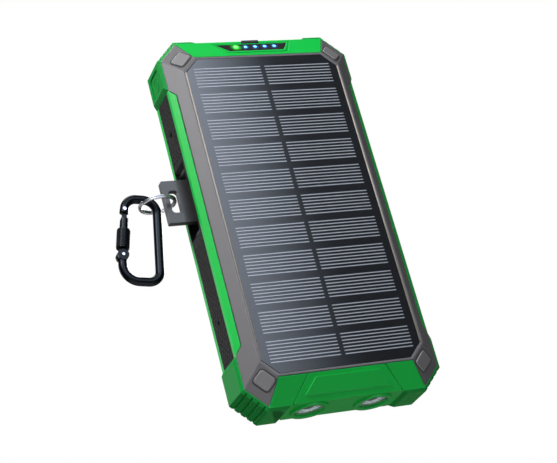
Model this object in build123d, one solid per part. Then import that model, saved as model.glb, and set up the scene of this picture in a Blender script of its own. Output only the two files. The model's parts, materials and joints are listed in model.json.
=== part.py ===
from build123d import *
import math
import os

# Pocket solar power bank with a wireless charging pad and four built-in cables.
# Millimetres. +Z is up: the charger stands on its torch end, with its ports at the top.
# The solar face looks along -Y, the wireless face along +Y, the carabiner hangs at -X.
# The origin is on the floor, under the middle of the case.

# Driving dimensions
half_w = 42.0            # half width of the case outline
half_l = 81.8            # half length of the case outline
corner = 8.4             # corner cut of the outline, both ways
rim_y = 8.5              # half depth of the case at its rims
face_y = 14.0            # half depth at the two faces
face_half_w = 35.5       # half width of a raised face
face_half_l = 71.4       # half length of a raised face
face_corner = 6.4        # corner cut of a raised face
wall = 2.0               # wall of the shells
proud = 1.3              # how far the bumpers stand out
mid_z = half_l + proud   # height of the case's middle above the floor
seam = 0.35              # width of the grooves between mouldings
seam_depth = 0.6
band_x = 39.4            # inner edge of the green side bands
band_z = 56.0            # half length of the bands' straight inner edge
band_end_z = 60.0        # where the bands meet the outline
grip_half_l = 59.5       # half length of the rubber grips
grip_half_y = 6.4
grip_depth = 1.6
grip_holes = (-42.0, 0.0, 43.0)
pad_x = 34.4             # middle of a corner pad
pad_z = 71.9
pad_w = 7.2
pad_h = 6.2

# Solar panel
glass_half_w = 34.2
glass_half_l = 70.4
glass_corner = 6.0
glass_t = 1.2
cell_t = 0.5
sheet_t = 0.8
cell_rows = 11
cell_pitch = 12.3
cell_w = 31.4
cell_gap = 0.7           # from the middle line to a cell
cell_h = 11.6

# Wireless side
ring_x = 0.2
ring_z = -22.6           # from the case's middle
ring_r = 24.3
ring_inner_r = 21.6
ring_t = 1.6
ring_proud = 0.5
coil_r = 21.0
coil_inner_r = 10.0
coil_t = 1.2
status_x = -28.2
status_z = 61.5
status_r = 1.2
scoop_x = -20.2          # finger scoop beside the first plug
scoop_z = 9.6
scoop_r = 4.8

# Built-in cables, one column for each: anchor, plug
clamp_x = (-18.4, -6.25, 6.25, 18.4)
plug_x = (-8.8, 3.5, 16.2, 28.9)
cable_names = ("usb_a", "micro", "type_c", "slim")
cable_w = 5.0
cable_t = 1.6
hinge_z = 66.5           # from the case's middle
hinge_y = face_y + 0.4   # outer face of the flat cables at the clamp
plug_top_y = face_y + 1.0
plug_t = 4.4
plug_end_z = 19.8        # end of the plug bodies, from the case's middle
body_w = (12.0, 8.8, 9.8, 8.6)
body_l = (5.4, 12.8, 12.8, 12.8)
tip_w = (11.4, 6.0, 7.6, 6.6)
tip_l = (11.0, 5.0, 6.0, 6.0)
tip_t = (2.2, 1.8, 2.4, 1.5)
pocket_floor_y = 9.0

# Clamp
tooth_top_z = 67.6
tooth_bend_z = 75.5
teeth = ((-27.0, -21.1), (-15.7, -8.95), (-3.55, 3.55), (8.95, 15.7), (21.1, 27.0))
clamp_half_w = 27.0
clamp_screw_z = 73.2

# Port end
port_half_w = 24.6
port_half_y = 6.9
port_depth = 3.0
usb_x = (-15.5, 3.5)
type_c_x = 18.0
cover_t = 2.2
cover_gap = 0.2

# Torch end
torch_x = 13.9
torch_hole_r = 6.2
torch_rim_r = 8.0

# Power button
button_z = 67.2
button_w = 10.6
button_h = 9.4

# Inner pieces
pouch_t = 4.8
pouch_y = (-9.4, -4.4, 0.6)
board_t = 1.2

# Lug, ring and carabiner
lug_y = 1.0
lug_mid_z = 12.5
lug_half_z = 9.5
lug_out_x = 51.8
lug_t = 3.0
slot_in_x = 45.4
slot_out_x = 49.6
slot_half_z = 5.0
pin_r = 0.8
pin_reach = 6.0          # how far the lug's two pins stand from its middle
split_r = 7.2            # radius of the split ring's middle line
split_wire = 0.85
split_x = 47.5 + split_r
hook_rod = 1.8
hook_tilt = 9.0          # degrees that the carabiner hangs away from the case


def save(part, name):
    part.label = name
    export_step(part, f"parts/{name}.step")


def at(x, y, z):
    # a place given from the case's middle
    return Pos(x, y, mid_z + z)


def octagon(hw, hl, cut):
    return [(-hw, -hl + cut), (-hw, hl - cut), (-hw + cut, hl), (hw - cut, hl),
            (hw, hl - cut), (hw, -hl + cut), (hw - cut, -hl), (-hw + cut, -hl)]


def sheet(points, y):
    # a flat face in the plane of the case, at depth y
    wire = Wire.make_polygon([Vector(x, y, mid_z + z) for x, z in points], close=True)
    return Face(wire)


def slab(points, y0, y1):
    return Part() + Solid.extrude(sheet(points, y0), Vector(0, y1 - y0, 0))


def frustum(points0, y0, points1, y1):
    return Part() + Solid.make_loft([sheet(points0, y0).outer_wire(), sheet(points1, y1).outer_wire()], True)


def block(x0, x1, y0, y1, z0, z1):
    # a box given by its limits, heights from the case's middle
    return at((x0 + x1) / 2, (y0 + y1) / 2, (z0 + z1) / 2) * Box(x1 - x0, y1 - y0, z1 - z0)


def rod_y(x, z, r, y0, y1):
    return at(x, (y0 + y1) / 2, z) * Rot(90, 0, 0) * Cylinder(r, y1 - y0)


def rod_z(x, y, r, z0, z1):
    return at(x, y, (z0 + z1) / 2) * Cylinder(r, z1 - z0)


def rod_x(y, z, r, x0, x1):
    return at((x0 + x1) / 2, y, z) * Rot(0, 90, 0) * Cylinder(r, x1 - x0)


def group(parts):
    return Compound(children=[p if isinstance(p, Solid) else p.solids()[0] for p in parts])


def grown(points, d):
    # an octagon outline moved outwards by d
    hw = max(x for x, z in points)
    hl = max(z for x, z in points)
    cut = hw - max(x for x, z in points if z == hl)
    return octagon(hw + d, hl + d, cut + d * (2 - math.sqrt(2)))


outline = octagon(half_w, half_l, corner)
face_line = octagon(face_half_w, face_half_l, face_corner)


def hull(inset):
    # the whole case without its bumpers: a middle slab and a raised face each side
    o = grown(outline, -inset)
    f = grown(face_line, -inset * 0.6)
    top = face_y - inset
    rim = rim_y - inset * 0.3
    return slab(o, -rim, rim) + frustum(o, -rim, f, -top) + frustum(o, rim, f, top)


def grey_area(d):
    # what the grey mouldings cover, seen from the front, with all edges moved out by d
    ends = face_half_w - face_corner
    right = [(band_x + d, band_z), (half_w + 1, band_end_z + 1 - d), (half_w + 1, half_l + 1),
             (half_w - corner + 1 - d, half_l + 1), (ends - d * 0.4, face_half_l + d)]
    pts = []
    pts += [(x, z) for x, z in right]
    pts += [(-x, z) for x, z in reversed(right)]
    pts += [(-x, -z) for x, z in right]
    pts += [(x, -z) for x, z in reversed(right)]
    return pts


shell = hull(0) - hull(wall)


def grey_blank(side):
    y0, y1 = sorted((side * (rim_y + 0.05), side * (face_y + 5)))
    return shell & slab(grey_area(0), y0, y1)


def panel_pocket():
    o = octagon(glass_half_w + 0.15, glass_half_l + 0.15, glass_corner)
    return slab(o, -face_y - 1, -face_y + glass_t + cell_t + sheet_t)


def corner_points():
    # middle of each corner pad, and its signs
    return [(sx * pad_x, sz * pad_z, sx, sz) for sx in (-1, 1) for sz in (-1, 1)]


facet_rise = (face_y - rim_y) / 10.5


def on_facet(x, z, sx, sz, side):
    # a place on a corner facet, +Z out of it, +Y towards the corner
    along = (half_w + half_l - corner - abs(x) - abs(z)) / math.sqrt(2)
    y = side * (rim_y + facet_rise * along)
    out = Vector(sx, 0, sz).normalized()
    tilt = math.atan(facet_rise)
    normal = Vector(out.X * math.sin(tilt), side * math.cos(tilt), out.Z * math.sin(tilt))
    run = out - normal * out.dot(normal)
    return Location(Plane(origin=(x, y, mid_z + z), x_dir=run.cross(normal), z_dir=normal))


def pad_outline(grow):
    with BuildSketch() as s:
        Rectangle(pad_w + 2 * grow, pad_h + 2 * grow)
        fillet(s.vertices(), 1.3 + grow)
    return s.sketch


def corner_pads(side):
    pads = []
    for x, z, sx, sz in corner_points():
        here = on_facet(x, z, sx, sz, side)
        pads.append(here * Pos(0, 0, -0.8) * extrude(pad_outline(0), 1.3))
    return pads


def pad_pockets(side):
    out = []
    for x, z, sx, sz in corner_points():
        here = on_facet(x, z, sx, sz, side)
        out.append(here * Pos(0, 0, -0.85) * extrude(pad_outline(0.3), 3))
    return out


def front_shell():
    body = grey_blank(-1)
    o = octagon(glass_half_w - 2.0, glass_half_l - 2.0, glass_corner)
    opening = slab(o, -face_y - 1, -face_y + 5)
    # a ledge behind the panel, then the opening through it
    ledge = slab(octagon(glass_half_w + 1.0, glass_half_l + 0.2, glass_corner), -face_y + 2.0, -face_y + 3.5)
    body = body + ledge
    body = body - panel_pocket() - opening
    for pocket in pad_pockets(-1):
        body = body - pocket
    return body


def channel_line(i, grow):
    # plan of one cable: straight at the clamp, then a slant to its plug
    x0, x1 = clamp_x[i], plug_x[i]
    w = cable_w / 2 + grow
    steps = 14
    left, right = [], []
    for k in range(steps + 1):
        t = k / steps
        z = hinge_z + (plug_end_z - hinge_z) * t
        x = x0 + (x1 - x0) * (3 * t ** 2 - 2 * t ** 3)
        left.append((x - w, z))
        right.append((x + w, z))
    return left + right[::-1]


def plug_window(i, grow):
    w = body_w[i] / 2 + grow
    z0 = plug_end_z - body_l[i] - tip_l[i] - grow
    return block(plug_x[i] - w, plug_x[i] + w, pocket_floor_y, face_y + 3, z0, plug_end_z + grow + 4)


def ramp_block():
    # fills the channels' floor from the pocket up to the clamp
    low = plug_end_z + 4
    pts = [(pocket_floor_y, low), (face_y - 1.7, hinge_z - 6), (face_y - 1.7, hinge_z + 6),
           (face_y + 6, hinge_z + 6), (face_y + 6, low)]
    return prism_x(pts, -60, 60)


def cable_cuts():
    cuts = []
    for i in range(4):
        cuts.append(plug_window(i, 0.6))
        lane = slab(channel_line(i, 0.9), pocket_floor_y, face_y + 4)
        cuts.append(lane & ramp_block())
    for x in clamp_x:
        w = cable_w / 2 + 0.9
        cuts.append(block(x - w, x + w, face_y - 1.7, face_y + 3, hinge_z - 0.1, tooth_top_z + 0.1))
    for a, b in zip(range(3), range(1, 4)):
        z0 = max(plug_end_z - body_l[a] - tip_l[a], plug_end_z - body_l[b] - tip_l[b]) + 5
        cuts.append(block(plug_x[a], plug_x[b], pocket_floor_y, face_y + 3, z0, plug_end_z + 2))
    left, right = scoop_x - scoop_r, scoop_x + scoop_r
    ramp_low, ramp_top = scoop_z + 3.6, 30.0
    cuts.append(rod_y(scoop_x, scoop_z, scoop_r, pocket_floor_y, face_y + 3))
    cuts.append(block(left, right, pocket_floor_y, face_y + 3, scoop_z, ramp_low))
    cuts.append(block(right - 0.6, plug_x[0], pocket_floor_y, face_y + 3, scoop_z - 3.1, plug_end_z + 6.2))
    slope = [(pocket_floor_y + 1.5, ramp_top), (face_y - 0.6, ramp_low),
             (face_y + 1, ramp_low), (face_y + 1, ramp_top)]
    cuts.append(prism_x(slope, left, right))
    return cuts


def pocket_liner():
    # the tray under the plugs and cables, part of the rear shell
    x0, x1 = -27.0, 35.0
    tray = block(x0, x1, pocket_floor_y - 1.6, face_y - 0.5, 1.0, hinge_z + 1)
    return tray & hull(0.1)


def side_strip(sx):
    # recess for the honeycomb strips beside the wireless face
    pts = [(35.6, -51.3), (30.6, -45.3), (30.2, 44.9), (35.6, 50.8), (band_x - 0.2, 54.5), (band_x - 0.2, -54.5)]
    return slab([(sx * x, z) for x, z in pts], rim_y, face_y + 2)


def strip_floor(sx):
    # the stepped floor of a strip recess: a slope, then a shallow valley
    pts = [(band_x + 3, rim_y), (band_x, rim_y + 1.6), (34.8, face_y - 1.3), (34.3, face_y - 1.9),
           (30.2, face_y - 1.3), (28, face_y - 1.3), (28, 0), (band_x + 3, 0)]
    wire = Wire.make_polygon([Vector(sx * x, y, mid_z - 70) for x, y in pts], close=True)
    return Part() + Solid.extrude(Face(wire), Vector(0, 0, 140))


def rear_shell():
    body = grey_blank(1) + pocket_liner()
    for sx in (-1, 1):
        body = body - (side_strip(sx) - strip_floor(sx))
    for cut in cable_cuts():
        body = body - cut
    body = body - rod_y(ring_x, ring_z, ring_r + 0.1, face_y - ring_t, face_y + 2)
    for pocket in pad_pockets(1):
        body = body - pocket
    for x, z, sx, sz in corner_points():
        body = body - on_facet(x, z, sx, sz, 1) * Cylinder(1.25, 14)
    body = body - rod_y(status_x, status_z, status_r + 0.05, 8, face_y + 1)
    body = body - clamp_seat()
    return body


def clamp_profile():
    # side outline of the clamp: flat on the face, then down the end bevel
    return [(face_y + 0.3, tooth_top_z), (face_y + 0.3, tooth_bend_z),
            (rim_y + 0.5, half_l - 0.05), (rim_y - 0.8, half_l - 1.0), (rim_y - 0.8, half_l - 2.6),
            (face_y - 3.2, tooth_bend_z - 2.5), (face_y - 3.2, tooth_top_z)]


def prism_x(pts, x0, x1):
    wire = Wire.make_polygon([Vector(x0, y, mid_z + z) for y, z in pts], close=True)
    return Part() + Solid.extrude(Face(wire), Vector(x1 - x0, 0, 0))


def clamp_seat():
    return prism_x(clamp_profile(), -clamp_half_w - 0.2, clamp_half_w + 0.2)


def strap_gap(x):
    w = cable_w / 2 + 0.15
    pts = [(face_y - 1.3, tooth_top_z - 2), (face_y - 1.3, tooth_bend_z - 0.6), (rim_y + 0.1, half_l - 2.6),
           (rim_y + 0.1, half_l + 3), (face_y + 4, half_l + 3), (face_y + 4, tooth_top_z - 2)]
    return prism_x(pts, x - w, x + w)


def cable_clamp():
    body = prism_x(clamp_profile(), -clamp_half_w, clamp_half_w)
    for x in clamp_x:
        body = body - strap_gap(x)
    for x0, x1 in teeth:
        body = body - rod_y((x0 + x1) / 2, clamp_screw_z, 1.3, face_y - 1.0, face_y + 2)
        body = body - rod_y((x0 + x1) / 2, clamp_screw_z, 0.8, face_y - 5.0, face_y + 2)
    return body


def strap(i):
    # the clamped end of a cable, over the bend and down to the rim
    x = clamp_x[i]
    out = hinge_y
    pts = [(out - cable_t, hinge_z + 0.15), (out, hinge_z + 0.15), (out, tooth_bend_z + 0.3),
           (rim_y + 2.2, half_l - 0.6), (rim_y + 0.9, half_l - 1.4), (out - cable_t, tooth_bend_z - 0.5)]
    return prism_x(pts, x - cable_w / 2, x + cable_w / 2)


def cable_profile():
    # side view of a free cable: a low arch from the clamp to its plug
    out, back = [], []
    steps = 16
    top = hinge_z - 0.15
    plug_mid = plug_top_y - plug_t / 2 + cable_t / 2
    for k in range(steps + 1):
        t = k / steps
        z = top + (plug_end_z - top) * t
        ease = 3 * t ** 2 - 2 * t ** 3
        y = hinge_y + (plug_mid - hinge_y) * ease + 2.6 * math.sin(math.pi * t) ** 2 * t
        out.append((y, z))
        back.append((y - cable_t, z))
    return out + back[::-1]


def cable(i):
    lane = slab(channel_line(i, 0), 0, 30)
    return prism_x(cable_profile(), -60, 60) & lane


def plug_body(i):
    x = plug_x[i]
    w, l = body_w[i], body_l[i]
    blank = block(x - w / 2, x + w / 2, plug_top_y - plug_t, plug_top_y, plug_end_z - l, plug_end_z)
    r = 0.4 if i == 0 else 1.4
    return fillet(blank.edges().filter_by(Axis.Y), r)


def plug_tip(i):
    x = plug_x[i]
    z1 = plug_end_z - body_l[i]
    y = plug_top_y - plug_t / 2
    if i == 0:
        y = plug_top_y - 0.4 - tip_t[0] / 2
    blank = block(x - tip_w[i] / 2, x + tip_w[i] / 2, y - tip_t[i] / 2, y + tip_t[i] / 2, z1 - tip_l[i], z1)
    if i == 0:
        return blank
    if i == 2:
        return fillet(blank.edges().filter_by(Axis.Z), 1.1)
    return fillet(blank.edges().filter_by(Axis.Z), 0.4)


def usb_contacts():
    x = plug_x[0]
    z1 = plug_end_z - body_l[0] - 0.6
    y = plug_top_y - 0.4
    return group([block(x + dx - 0.55, x + dx + 0.55, y, y + 0.15, z1 - (9.6 if abs(dx) > 2 else 8.6), z1)
                  for dx in (-3.6, -1.2, 1.2, 3.6)])


def window_points(grow):
    # the slanted window on the port-end bevel, seen from the front
    return [(-16.4 - grow, 79.6 + grow * 0.5), (16.4 + grow, 79.6 + grow * 0.5),
            (13.0 + grow * 0.8, 75.0 - grow), (-11.6 - grow * 0.8, 75.0 - grow)]


def bevel_band(points, depth, side=-1):
    # everything over a plan, down to a depth under the case's skin
    y0, y1 = sorted((side * (rim_y - 1), side * (face_y + 5)))
    return slab(points, y0, y1) - hull(depth)


def groove(x0, z0, x1, z1, w):
    # a narrow plan strip between two points
    d = Vector(x1 - x0, z1 - z0, 0).normalized() * (w / 2)
    return [(x0 - d.Y, z0 + d.X), (x1 - d.Y, z1 + d.X), (x1 + d.Y, z1 - d.X), (x0 + d.Y, z0 - d.X)]


def frame():
    body = shell
    for side in (-1, 1):
        y0, y1 = sorted((side * (rim_y + 0.05), side * (face_y + 5)))
        body = body - slab(grey_area(0), y0, y1)
        lip = slab(grey_area(seam), y0, y1) - hull(seam_depth)
        body = body - lip
    for sx in (-1, 1):
        x0, x1 = sorted((sx * (half_w - grip_depth), sx * (half_w + 2)))
        x2, x3 = sorted((sx * (half_w - grip_depth - 2.0), sx * (half_w - grip_depth)))
        backing = block(x2, x3, -grip_half_y - 1, grip_half_y + 1, -grip_half_l - 1, grip_half_l + 1)
        body = body + backing
        body = body - block(x0, x1, -grip_half_y, grip_half_y, -grip_half_l, grip_half_l)
    # LED window, its groove, and the bevels' grooves
    body = body - bevel_band(window_points(0.1), 1.0)
    rim_line = slab(window_points(1.6), -face_y - 1, -rim_y + 1)
    rim_line = rim_line - slab(window_points(1.0), -face_y - 1, -rim_y + 1)
    body = body - (rim_line - hull(0.5))
    for sx in (-1, 1):
        for side in (-1, 1):
            body = body - bevel_band(groove(sx * 16.2, -71, sx * 24.6, -83, 0.5), seam_depth, side)
    raised = [(-13.6, -73.4), (13.6, -73.4), (18.6, -79.4), (-18.6, -79.4)]
    for y0, y1 in ((-20, -8), (8, 20)):
        panel = slab(raised, y0, y1) & hull(-0.5)
        body = body + (panel - hull(0.5))
    # port recess with a notch for the cover's tab
    recess = block(-port_half_w, port_half_w, -port_half_y, port_half_y, half_l - port_depth, half_l + 2)
    tub = block(-port_half_w - 1.6, port_half_w + 1.6, -rim_y + 0.2, rim_y - 0.2,
                half_l - port_depth - 1.6, half_l - 0.5)
    body = body + tub - recess
    body = body - block(-4.2, 4.2, -rim_y - 1.5, 0, half_l - 1.6, half_l + 2)
    for x in usb_x:
        body = body - block(x - 6.8, x + 6.8, -3.0, 3.0, half_l - 8, half_l)
    slot = block(type_c_x - 4.8, type_c_x + 4.8, -1.8, 1.8, half_l - 8, half_l)
    body = body - fillet(slot.edges().filter_by(Axis.Z), 1.7)
    # torch openings with collars
    for sx in (-1, 1):
        body = body + rod_z(sx * torch_x, 0, torch_rim_r, -half_l - proud + 0.5, -half_l + 3)
        body = body - rod_z(sx * torch_x, 0, torch_hole_r, -half_l - 3, -half_l + 6)
    # lug recess and button opening on the hanging side
    lug_plan = [(-half_w - 1, lug_mid_z - 16.5), (-half_w + grip_depth + 1.6, lug_mid_z - 11.5),
                (-half_w + grip_depth + 1.6, lug_mid_z + 11.5), (-half_w - 1, lug_mid_z + 16.5)]
    body = body + block(-half_w + grip_depth, -half_w + 5.2, -6.4, 6.4, lug_mid_z - 14, lug_mid_z + 14)
    body = body - slab(lug_plan, -4.4, 6.4)
    body = body - block(-half_w, -half_w + 8, lug_y - lug_t / 2 - 0.1, lug_y + lug_t / 2 + 0.1,
                        lug_mid_z - lug_half_z - 0.1, lug_mid_z + lug_half_z + 0.1)
    body = body - lug_pin(pin_r, -1) - lug_pin(pin_r, 1)
    body = body - button_hole(0.15)
    body = body - clamp_seat()
    return body


def button_hole(grow):
    with BuildSketch() as s:
        Rectangle(button_h + 2 * grow, button_w + 2 * grow)
        fillet(s.vertices(), 1.8)
    blank = extrude(s.sketch, 10)
    return at(-half_w - 5, 0, button_z) * Rot(0, 90, 0) * blank


def power_button():
    inner = -half_w + wall + 0.1
    body = button_hole(0) & block(-half_w - proud + 0.45, inner, -20, 20, 50, 80)
    flange = button_hole(0.6) & block(inner, inner + 0.8, -20, 20, 50, 80)
    return body + flange


def bumper_plan(sx, sz):
    g = proud
    x_end = half_w - corner - 7.6
    cut = corner + g * (2 - math.sqrt(2))
    pts = [(half_w - 3.0, band_end_z - 0.4), (half_w, band_end_z - 0.4), (half_w + g, band_end_z + 1.4),
           (half_w + g, half_l + g - cut)]
    ribs = 4
    ax, az = half_w + g, half_l + g - cut
    bx, bz = half_w + g - cut, half_l + g
    for k in range(ribs):
        t0 = (k + 0.5) / (ribs + 0.45)
        t1 = t0 + 0.42 / (ribs + 0.45)
        for t, depth in ((t0, 0), (t0 + 0.03, 0.85), (t1 - 0.03, 0.85), (t1, 0)):
            pts.append((ax + (bx - ax) * t - depth * 0.707, az + (bz - az) * t - depth * 0.707))
    pts += [(bx, bz), (x_end, half_l + g), (x_end - 1.4, half_l), (x_end - 1.4, half_l - 3.0)]
    pts.append((half_w - corner - 2.5, half_l - 3.0))
    pts.append((half_w - 3.0, half_l - corner - 2.5))
    return [(sx * x, sz * z) for x, z in pts]


def bumper(sx, sz):
    plan = slab(bumper_plan(sx, sz), -rim_y, rim_y)
    wide = grown(outline, proud)
    edge = grown(outline, 0.15)
    env = slab(wide, -rim_y + 1.1, rim_y - 1.1)
    env = env + frustum(wide, -rim_y + 1.1, edge, -rim_y) + frustum(wide, rim_y - 1.1, edge, rim_y)
    body = (plan & env) - hull(0)
    if sx < 0 and sz > 0:
        body = body - button_hole(0.15)
    return body


def grip(sx):
    x0, x1 = sorted((sx * (half_w - grip_depth), sx * (half_w - 0.05)))
    gap = 0.1
    body = block(x0, x1, -grip_half_y + gap, grip_half_y - gap, -grip_half_l + gap, grip_half_l - gap)
    for z in grip_holes:
        if sx > 0 or z != 0:
            body = body - rod_x(0, z, 1.1, x0 - 1, x1 + 1)
    if sx < 0:
        plan = [(-half_w - 1, lug_mid_z - 17.0), (-half_w + 5, lug_mid_z - 11.5),
                (-half_w + 5, lug_mid_z + 11.5), (-half_w - 1, lug_mid_z + 17.0)]
        body = body - slab(plan, -4.8, 9)
    return body


def solar_layers():
    plan = octagon(glass_half_w, glass_half_l, glass_corner)
    y = -face_y
    glass = slab(plan, y, y + glass_t)
    cells = []
    for k in range(cell_rows):
        z = (k - (cell_rows - 1) / 2) * cell_pitch
        for sx in (-1, 1):
            x0, x1 = sorted((sx * cell_gap, sx * (cell_gap + cell_w)))
            cell = block(x0, x1, y + glass_t, y + glass_t + cell_t, z - cell_h / 2, z + cell_h / 2)
            cells.append(cell & slab(plan, y, y + 4))
    back = slab(plan, y + glass_t + cell_t, y + glass_t + cell_t + sheet_t)
    return glass, group(cells), back


def led_window():
    return bevel_band(window_points(0), 0.95) & hull(0.15)


def bevel_y(z, side=-1):
    # depth of the end bevels at a height
    t = (half_l - abs(z)) / (half_l - face_half_l)
    return side * (rim_y + (face_y - rim_y) * t)


def bevel_frame(x, z):
    slope = math.atan2(face_y - rim_y, half_l - face_half_l)
    normal = Vector(0, -math.cos(slope), math.sin(slope))
    return Location(Plane(origin=(x, bevel_y(z), mid_z + z), x_dir=(1, 0, 0), z_dir=normal))


def indicator_leds():
    out = []
    for k in range(5):
        here = bevel_frame((k - 2) * 4.4 + 0.9, 77.5)
        out.append(here * Pos(0, 0, 0.04) * Cylinder(0.75, 0.2))
    return group(out)


def case_screws():
    out = []
    for x, z, sx, sz in corner_points():
        here = on_facet(x, z, sx, sz, 1)
        head = here * Pos(0, 0, 0.2) * Cylinder(2.1, 0.9)
        shank = here * Pos(0, 0, -2.5) * Cylinder(1.2, 4.5)
        cross = here * Pos(0, 0, 0.6) * (Box(2.6, 0.55, 0.7) + Box(0.55, 2.6, 0.7))
        out.append(head + shank - cross)
    return group(out)


def rear_pads():
    out = []
    for x, z, sx, sz in corner_points():
        here = on_facet(x, z, sx, sz, 1)
        pad = here * Pos(0, 0, -0.8) * extrude(pad_outline(0), 1.2)
        out.append(pad - here * Cylinder(2.3, 5))
    return group(out)


def clamp_screws():
    out = []
    for x0, x1 in teeth:
        x = (x0 + x1) / 2
        head = rod_y(x, clamp_screw_z, 1.2, face_y - 1.0, face_y + 0.1)
        shank = rod_y(x, clamp_screw_z, 0.75, face_y - 4.0, face_y - 1.0)
        cross = Part()
        for a, b in ((0.9, 0.2), (0.2, 0.9)):
            z0, z1 = clamp_screw_z - b, clamp_screw_z + b
            cross = cross + block(x - a, x + a, face_y - 0.5, face_y + 1, z0, z1)
        out.append(head + shank - cross)
    return group(out)


def charging_ring():
    ring = rod_y(ring_x, ring_z, ring_r, face_y - ring_t, face_y + ring_proud)
    ring = chamfer(ring.edges().group_by(Axis.Y)[-1], 0.5)
    return ring - rod_y(ring_x, ring_z, ring_inner_r, face_y - ring_t - 1, face_y + 3)


def charging_disc():
    return rod_y(ring_x, ring_z, ring_inner_r - 0.1, face_y - ring_t, face_y - 0.1)


def wireless_coil():
    y = face_y - wall - 0.1
    coil = rod_y(ring_x, ring_z, coil_r, y - coil_t, y)
    return coil - rod_y(ring_x, ring_z, coil_inner_r, y - 3, y + 1)


def ferrite_sheet():
    y = face_y - wall - 0.1 - coil_t
    return rod_y(ring_x, ring_z, coil_r + 0.8, y - 0.8, y)


def port_cover():
    g = cover_gap
    body = block(-port_half_w + g, port_half_w - g, -port_half_y + g, port_half_y - g,
                 half_l - cover_t, half_l)
    body = chamfer(body.edges().group_by(Axis.Z)[-1], 0.3)
    tab = block(-3.9, 3.9, -rim_y - 0.9, -port_half_y + g + 0.5, half_l - 1.2, half_l - 0.1)
    tab = fillet(tab.edges().filter_by(Axis.Z), 0.4)
    return body + tab


def sockets():
    z1 = half_l - port_depth - 0.2
    out = []
    for x in usb_x:
        can = block(x - 6.6, x + 6.6, -2.85, 2.85, z1 - 14, z1)
        can = can - block(x - 6.2, x + 6.2, -2.45, 2.45, z1 - 12, z1 + 1)
        tongue = block(x - 5.6, x + 5.6, -0.9, 0.9, z1 - 12, z1 - 1.5)
        out.append(can + tongue)
    x = type_c_x
    can = fillet(block(x - 4.5, x + 4.5, -1.6, 1.6, z1 - 7.5, z1).edges().filter_by(Axis.Z), 1.5)
    hole = fillet(block(x - 4.2, x + 4.2, -1.3, 1.3, z1 - 6.5, z1 + 1).edges().filter_by(Axis.Z), 1.2)
    tongue = block(x - 3.3, x + 3.3, -0.35, 0.35, z1 - 6.5, z1 - 0.8)
    return group(out), can - hole + tongue


def torch_parts():
    lenses, reflectors, leds = [], [], []
    z0 = -half_l - proud + 1.0
    for sx in (-1, 1):
        x = sx * torch_x
        lenses.append(rod_z(x, 0, torch_hole_r - 0.05, z0, z0 + 0.8))
        cone = at(x, 0, z0 + 0.8 + 2.4) * Cone(torch_hole_r - 0.7, 2.2, 4.8)
        cup = rod_z(x, 0, torch_hole_r - 0.05, z0 + 0.8, z0 + 5.6)
        reflectors.append(cup - cone - rod_z(x, 0, 2.2, z0, z0 + 8))
        leds.append(block(x - 1.5, x + 1.5, -1.5, 1.5, z0 + 5.0, z0 + 6.2))
    board = block(-23, 23, -5.5, 5.5, z0 + 6.2, z0 + 7.4)
    return group(lenses), group(reflectors), group(leds), board


def lug_pin(r, side):
    return rod_y(-half_w + 3.2, lug_mid_z + side * pin_reach, r, lug_y - 3.0, lug_y + 3.0)


def lug():
    top, low = lug_mid_z + lug_half_z, lug_mid_z - lug_half_z
    body = block(-lug_out_x, -half_w + 5.0, lug_y - lug_t / 2, lug_y + lug_t / 2, low, top)
    body = fillet(body.edges().filter_by(Axis.Y), 0.5)
    slot = block(-slot_out_x, -slot_in_x, -8, 8, lug_mid_z - slot_half_z, lug_mid_z + slot_half_z)
    body = body - fillet(slot.edges().filter_by(Axis.Y), 1.5)
    return body - lug_pin(pin_r, -1) - lug_pin(pin_r, 1)


def lug_pins():
    return group([lug_pin(pin_r - 0.02, side) for side in (-1, 1)])


def split_ring():
    here = at(-split_x, lug_y, lug_mid_z)
    return here * Torus(split_r, split_wire)


# The carabiner is drawn upright around its own middle, then hung on the split ring.
hook_top = 18.2          # height of the top bend's middle line
gate_low = Vector(-8.2, -7.5)
gate_high = Vector(-6.5, 9.0)
hook_touch = 0.6         # where the ring touches the top bend, from the middle
hang_x = -split_x - split_r
hang = at(hang_x, lug_y, lug_mid_z) * Rot(0, hook_tilt, 0) * Pos(-hook_touch, 0,
                                                                -(hook_top - hook_rod - split_wire - 0.05))


def rod_path(points, radii, r):
    line = FilletPolyline(*[(x, 0, z) for x, z in points], radius=radii)
    start = points[0]
    step = points[1]
    plane = Plane(origin=(start[0], 0, start[1]), z_dir=(step[0] - start[0], 0, step[1] - start[1]))
    return sweep(plane * Circle(r), path=line)


def carabiner_body():
    points = [(gate_low.X, gate_low.Y - 3.2), (-8.9, -hook_top), (6.6, -hook_top), (7.4, hook_top),
              (-5.4, hook_top), (gate_high.X, gate_high.Y + 2.6)]
    body = rod_path(points, [6.6, 4.8, 5.6, 5.0], hook_rod)
    knuckle = Pos(gate_low.X, 0, gate_low.Y) * Rot(90, 0, 0) * Cylinder(2.3, 4.2)
    neck = Pos(gate_low.X, 0, gate_low.Y - 2.2) * Cylinder(1.75, 3.0)
    body = body + knuckle + neck
    body = body - Pos(gate_low.X, 0, gate_low.Y + 1.0) * Box(8, 1.7, 6.6)
    body = body - Pos(gate_low.X, 0, gate_low.Y) * Rot(90, 0, 0) * Cylinder(0.62, 8)
    body = body - Pos(gate_high.X, 0, gate_high.Y + 3.9) * Rot(90, 0, 0) * Cylinder(0.76, 8)
    tongue = Pos(gate_high.X + 0.1, 0, gate_high.Y + 1.2) * Box(1.8, 1.2, 3.2)
    return hang * (body + tongue)


gate_dir = (gate_high - gate_low).normalized()
gate_len = (gate_high - gate_low).length
gate_turn = math.degrees(math.atan2(gate_dir.X, gate_dir.Y))


def on_gate(d):
    # a place along the gate rod, +Z along it
    p = gate_low + gate_dir * d
    return hang * Pos(p.X, 0, p.Y) * Rot(0, gate_turn, 0)


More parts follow.
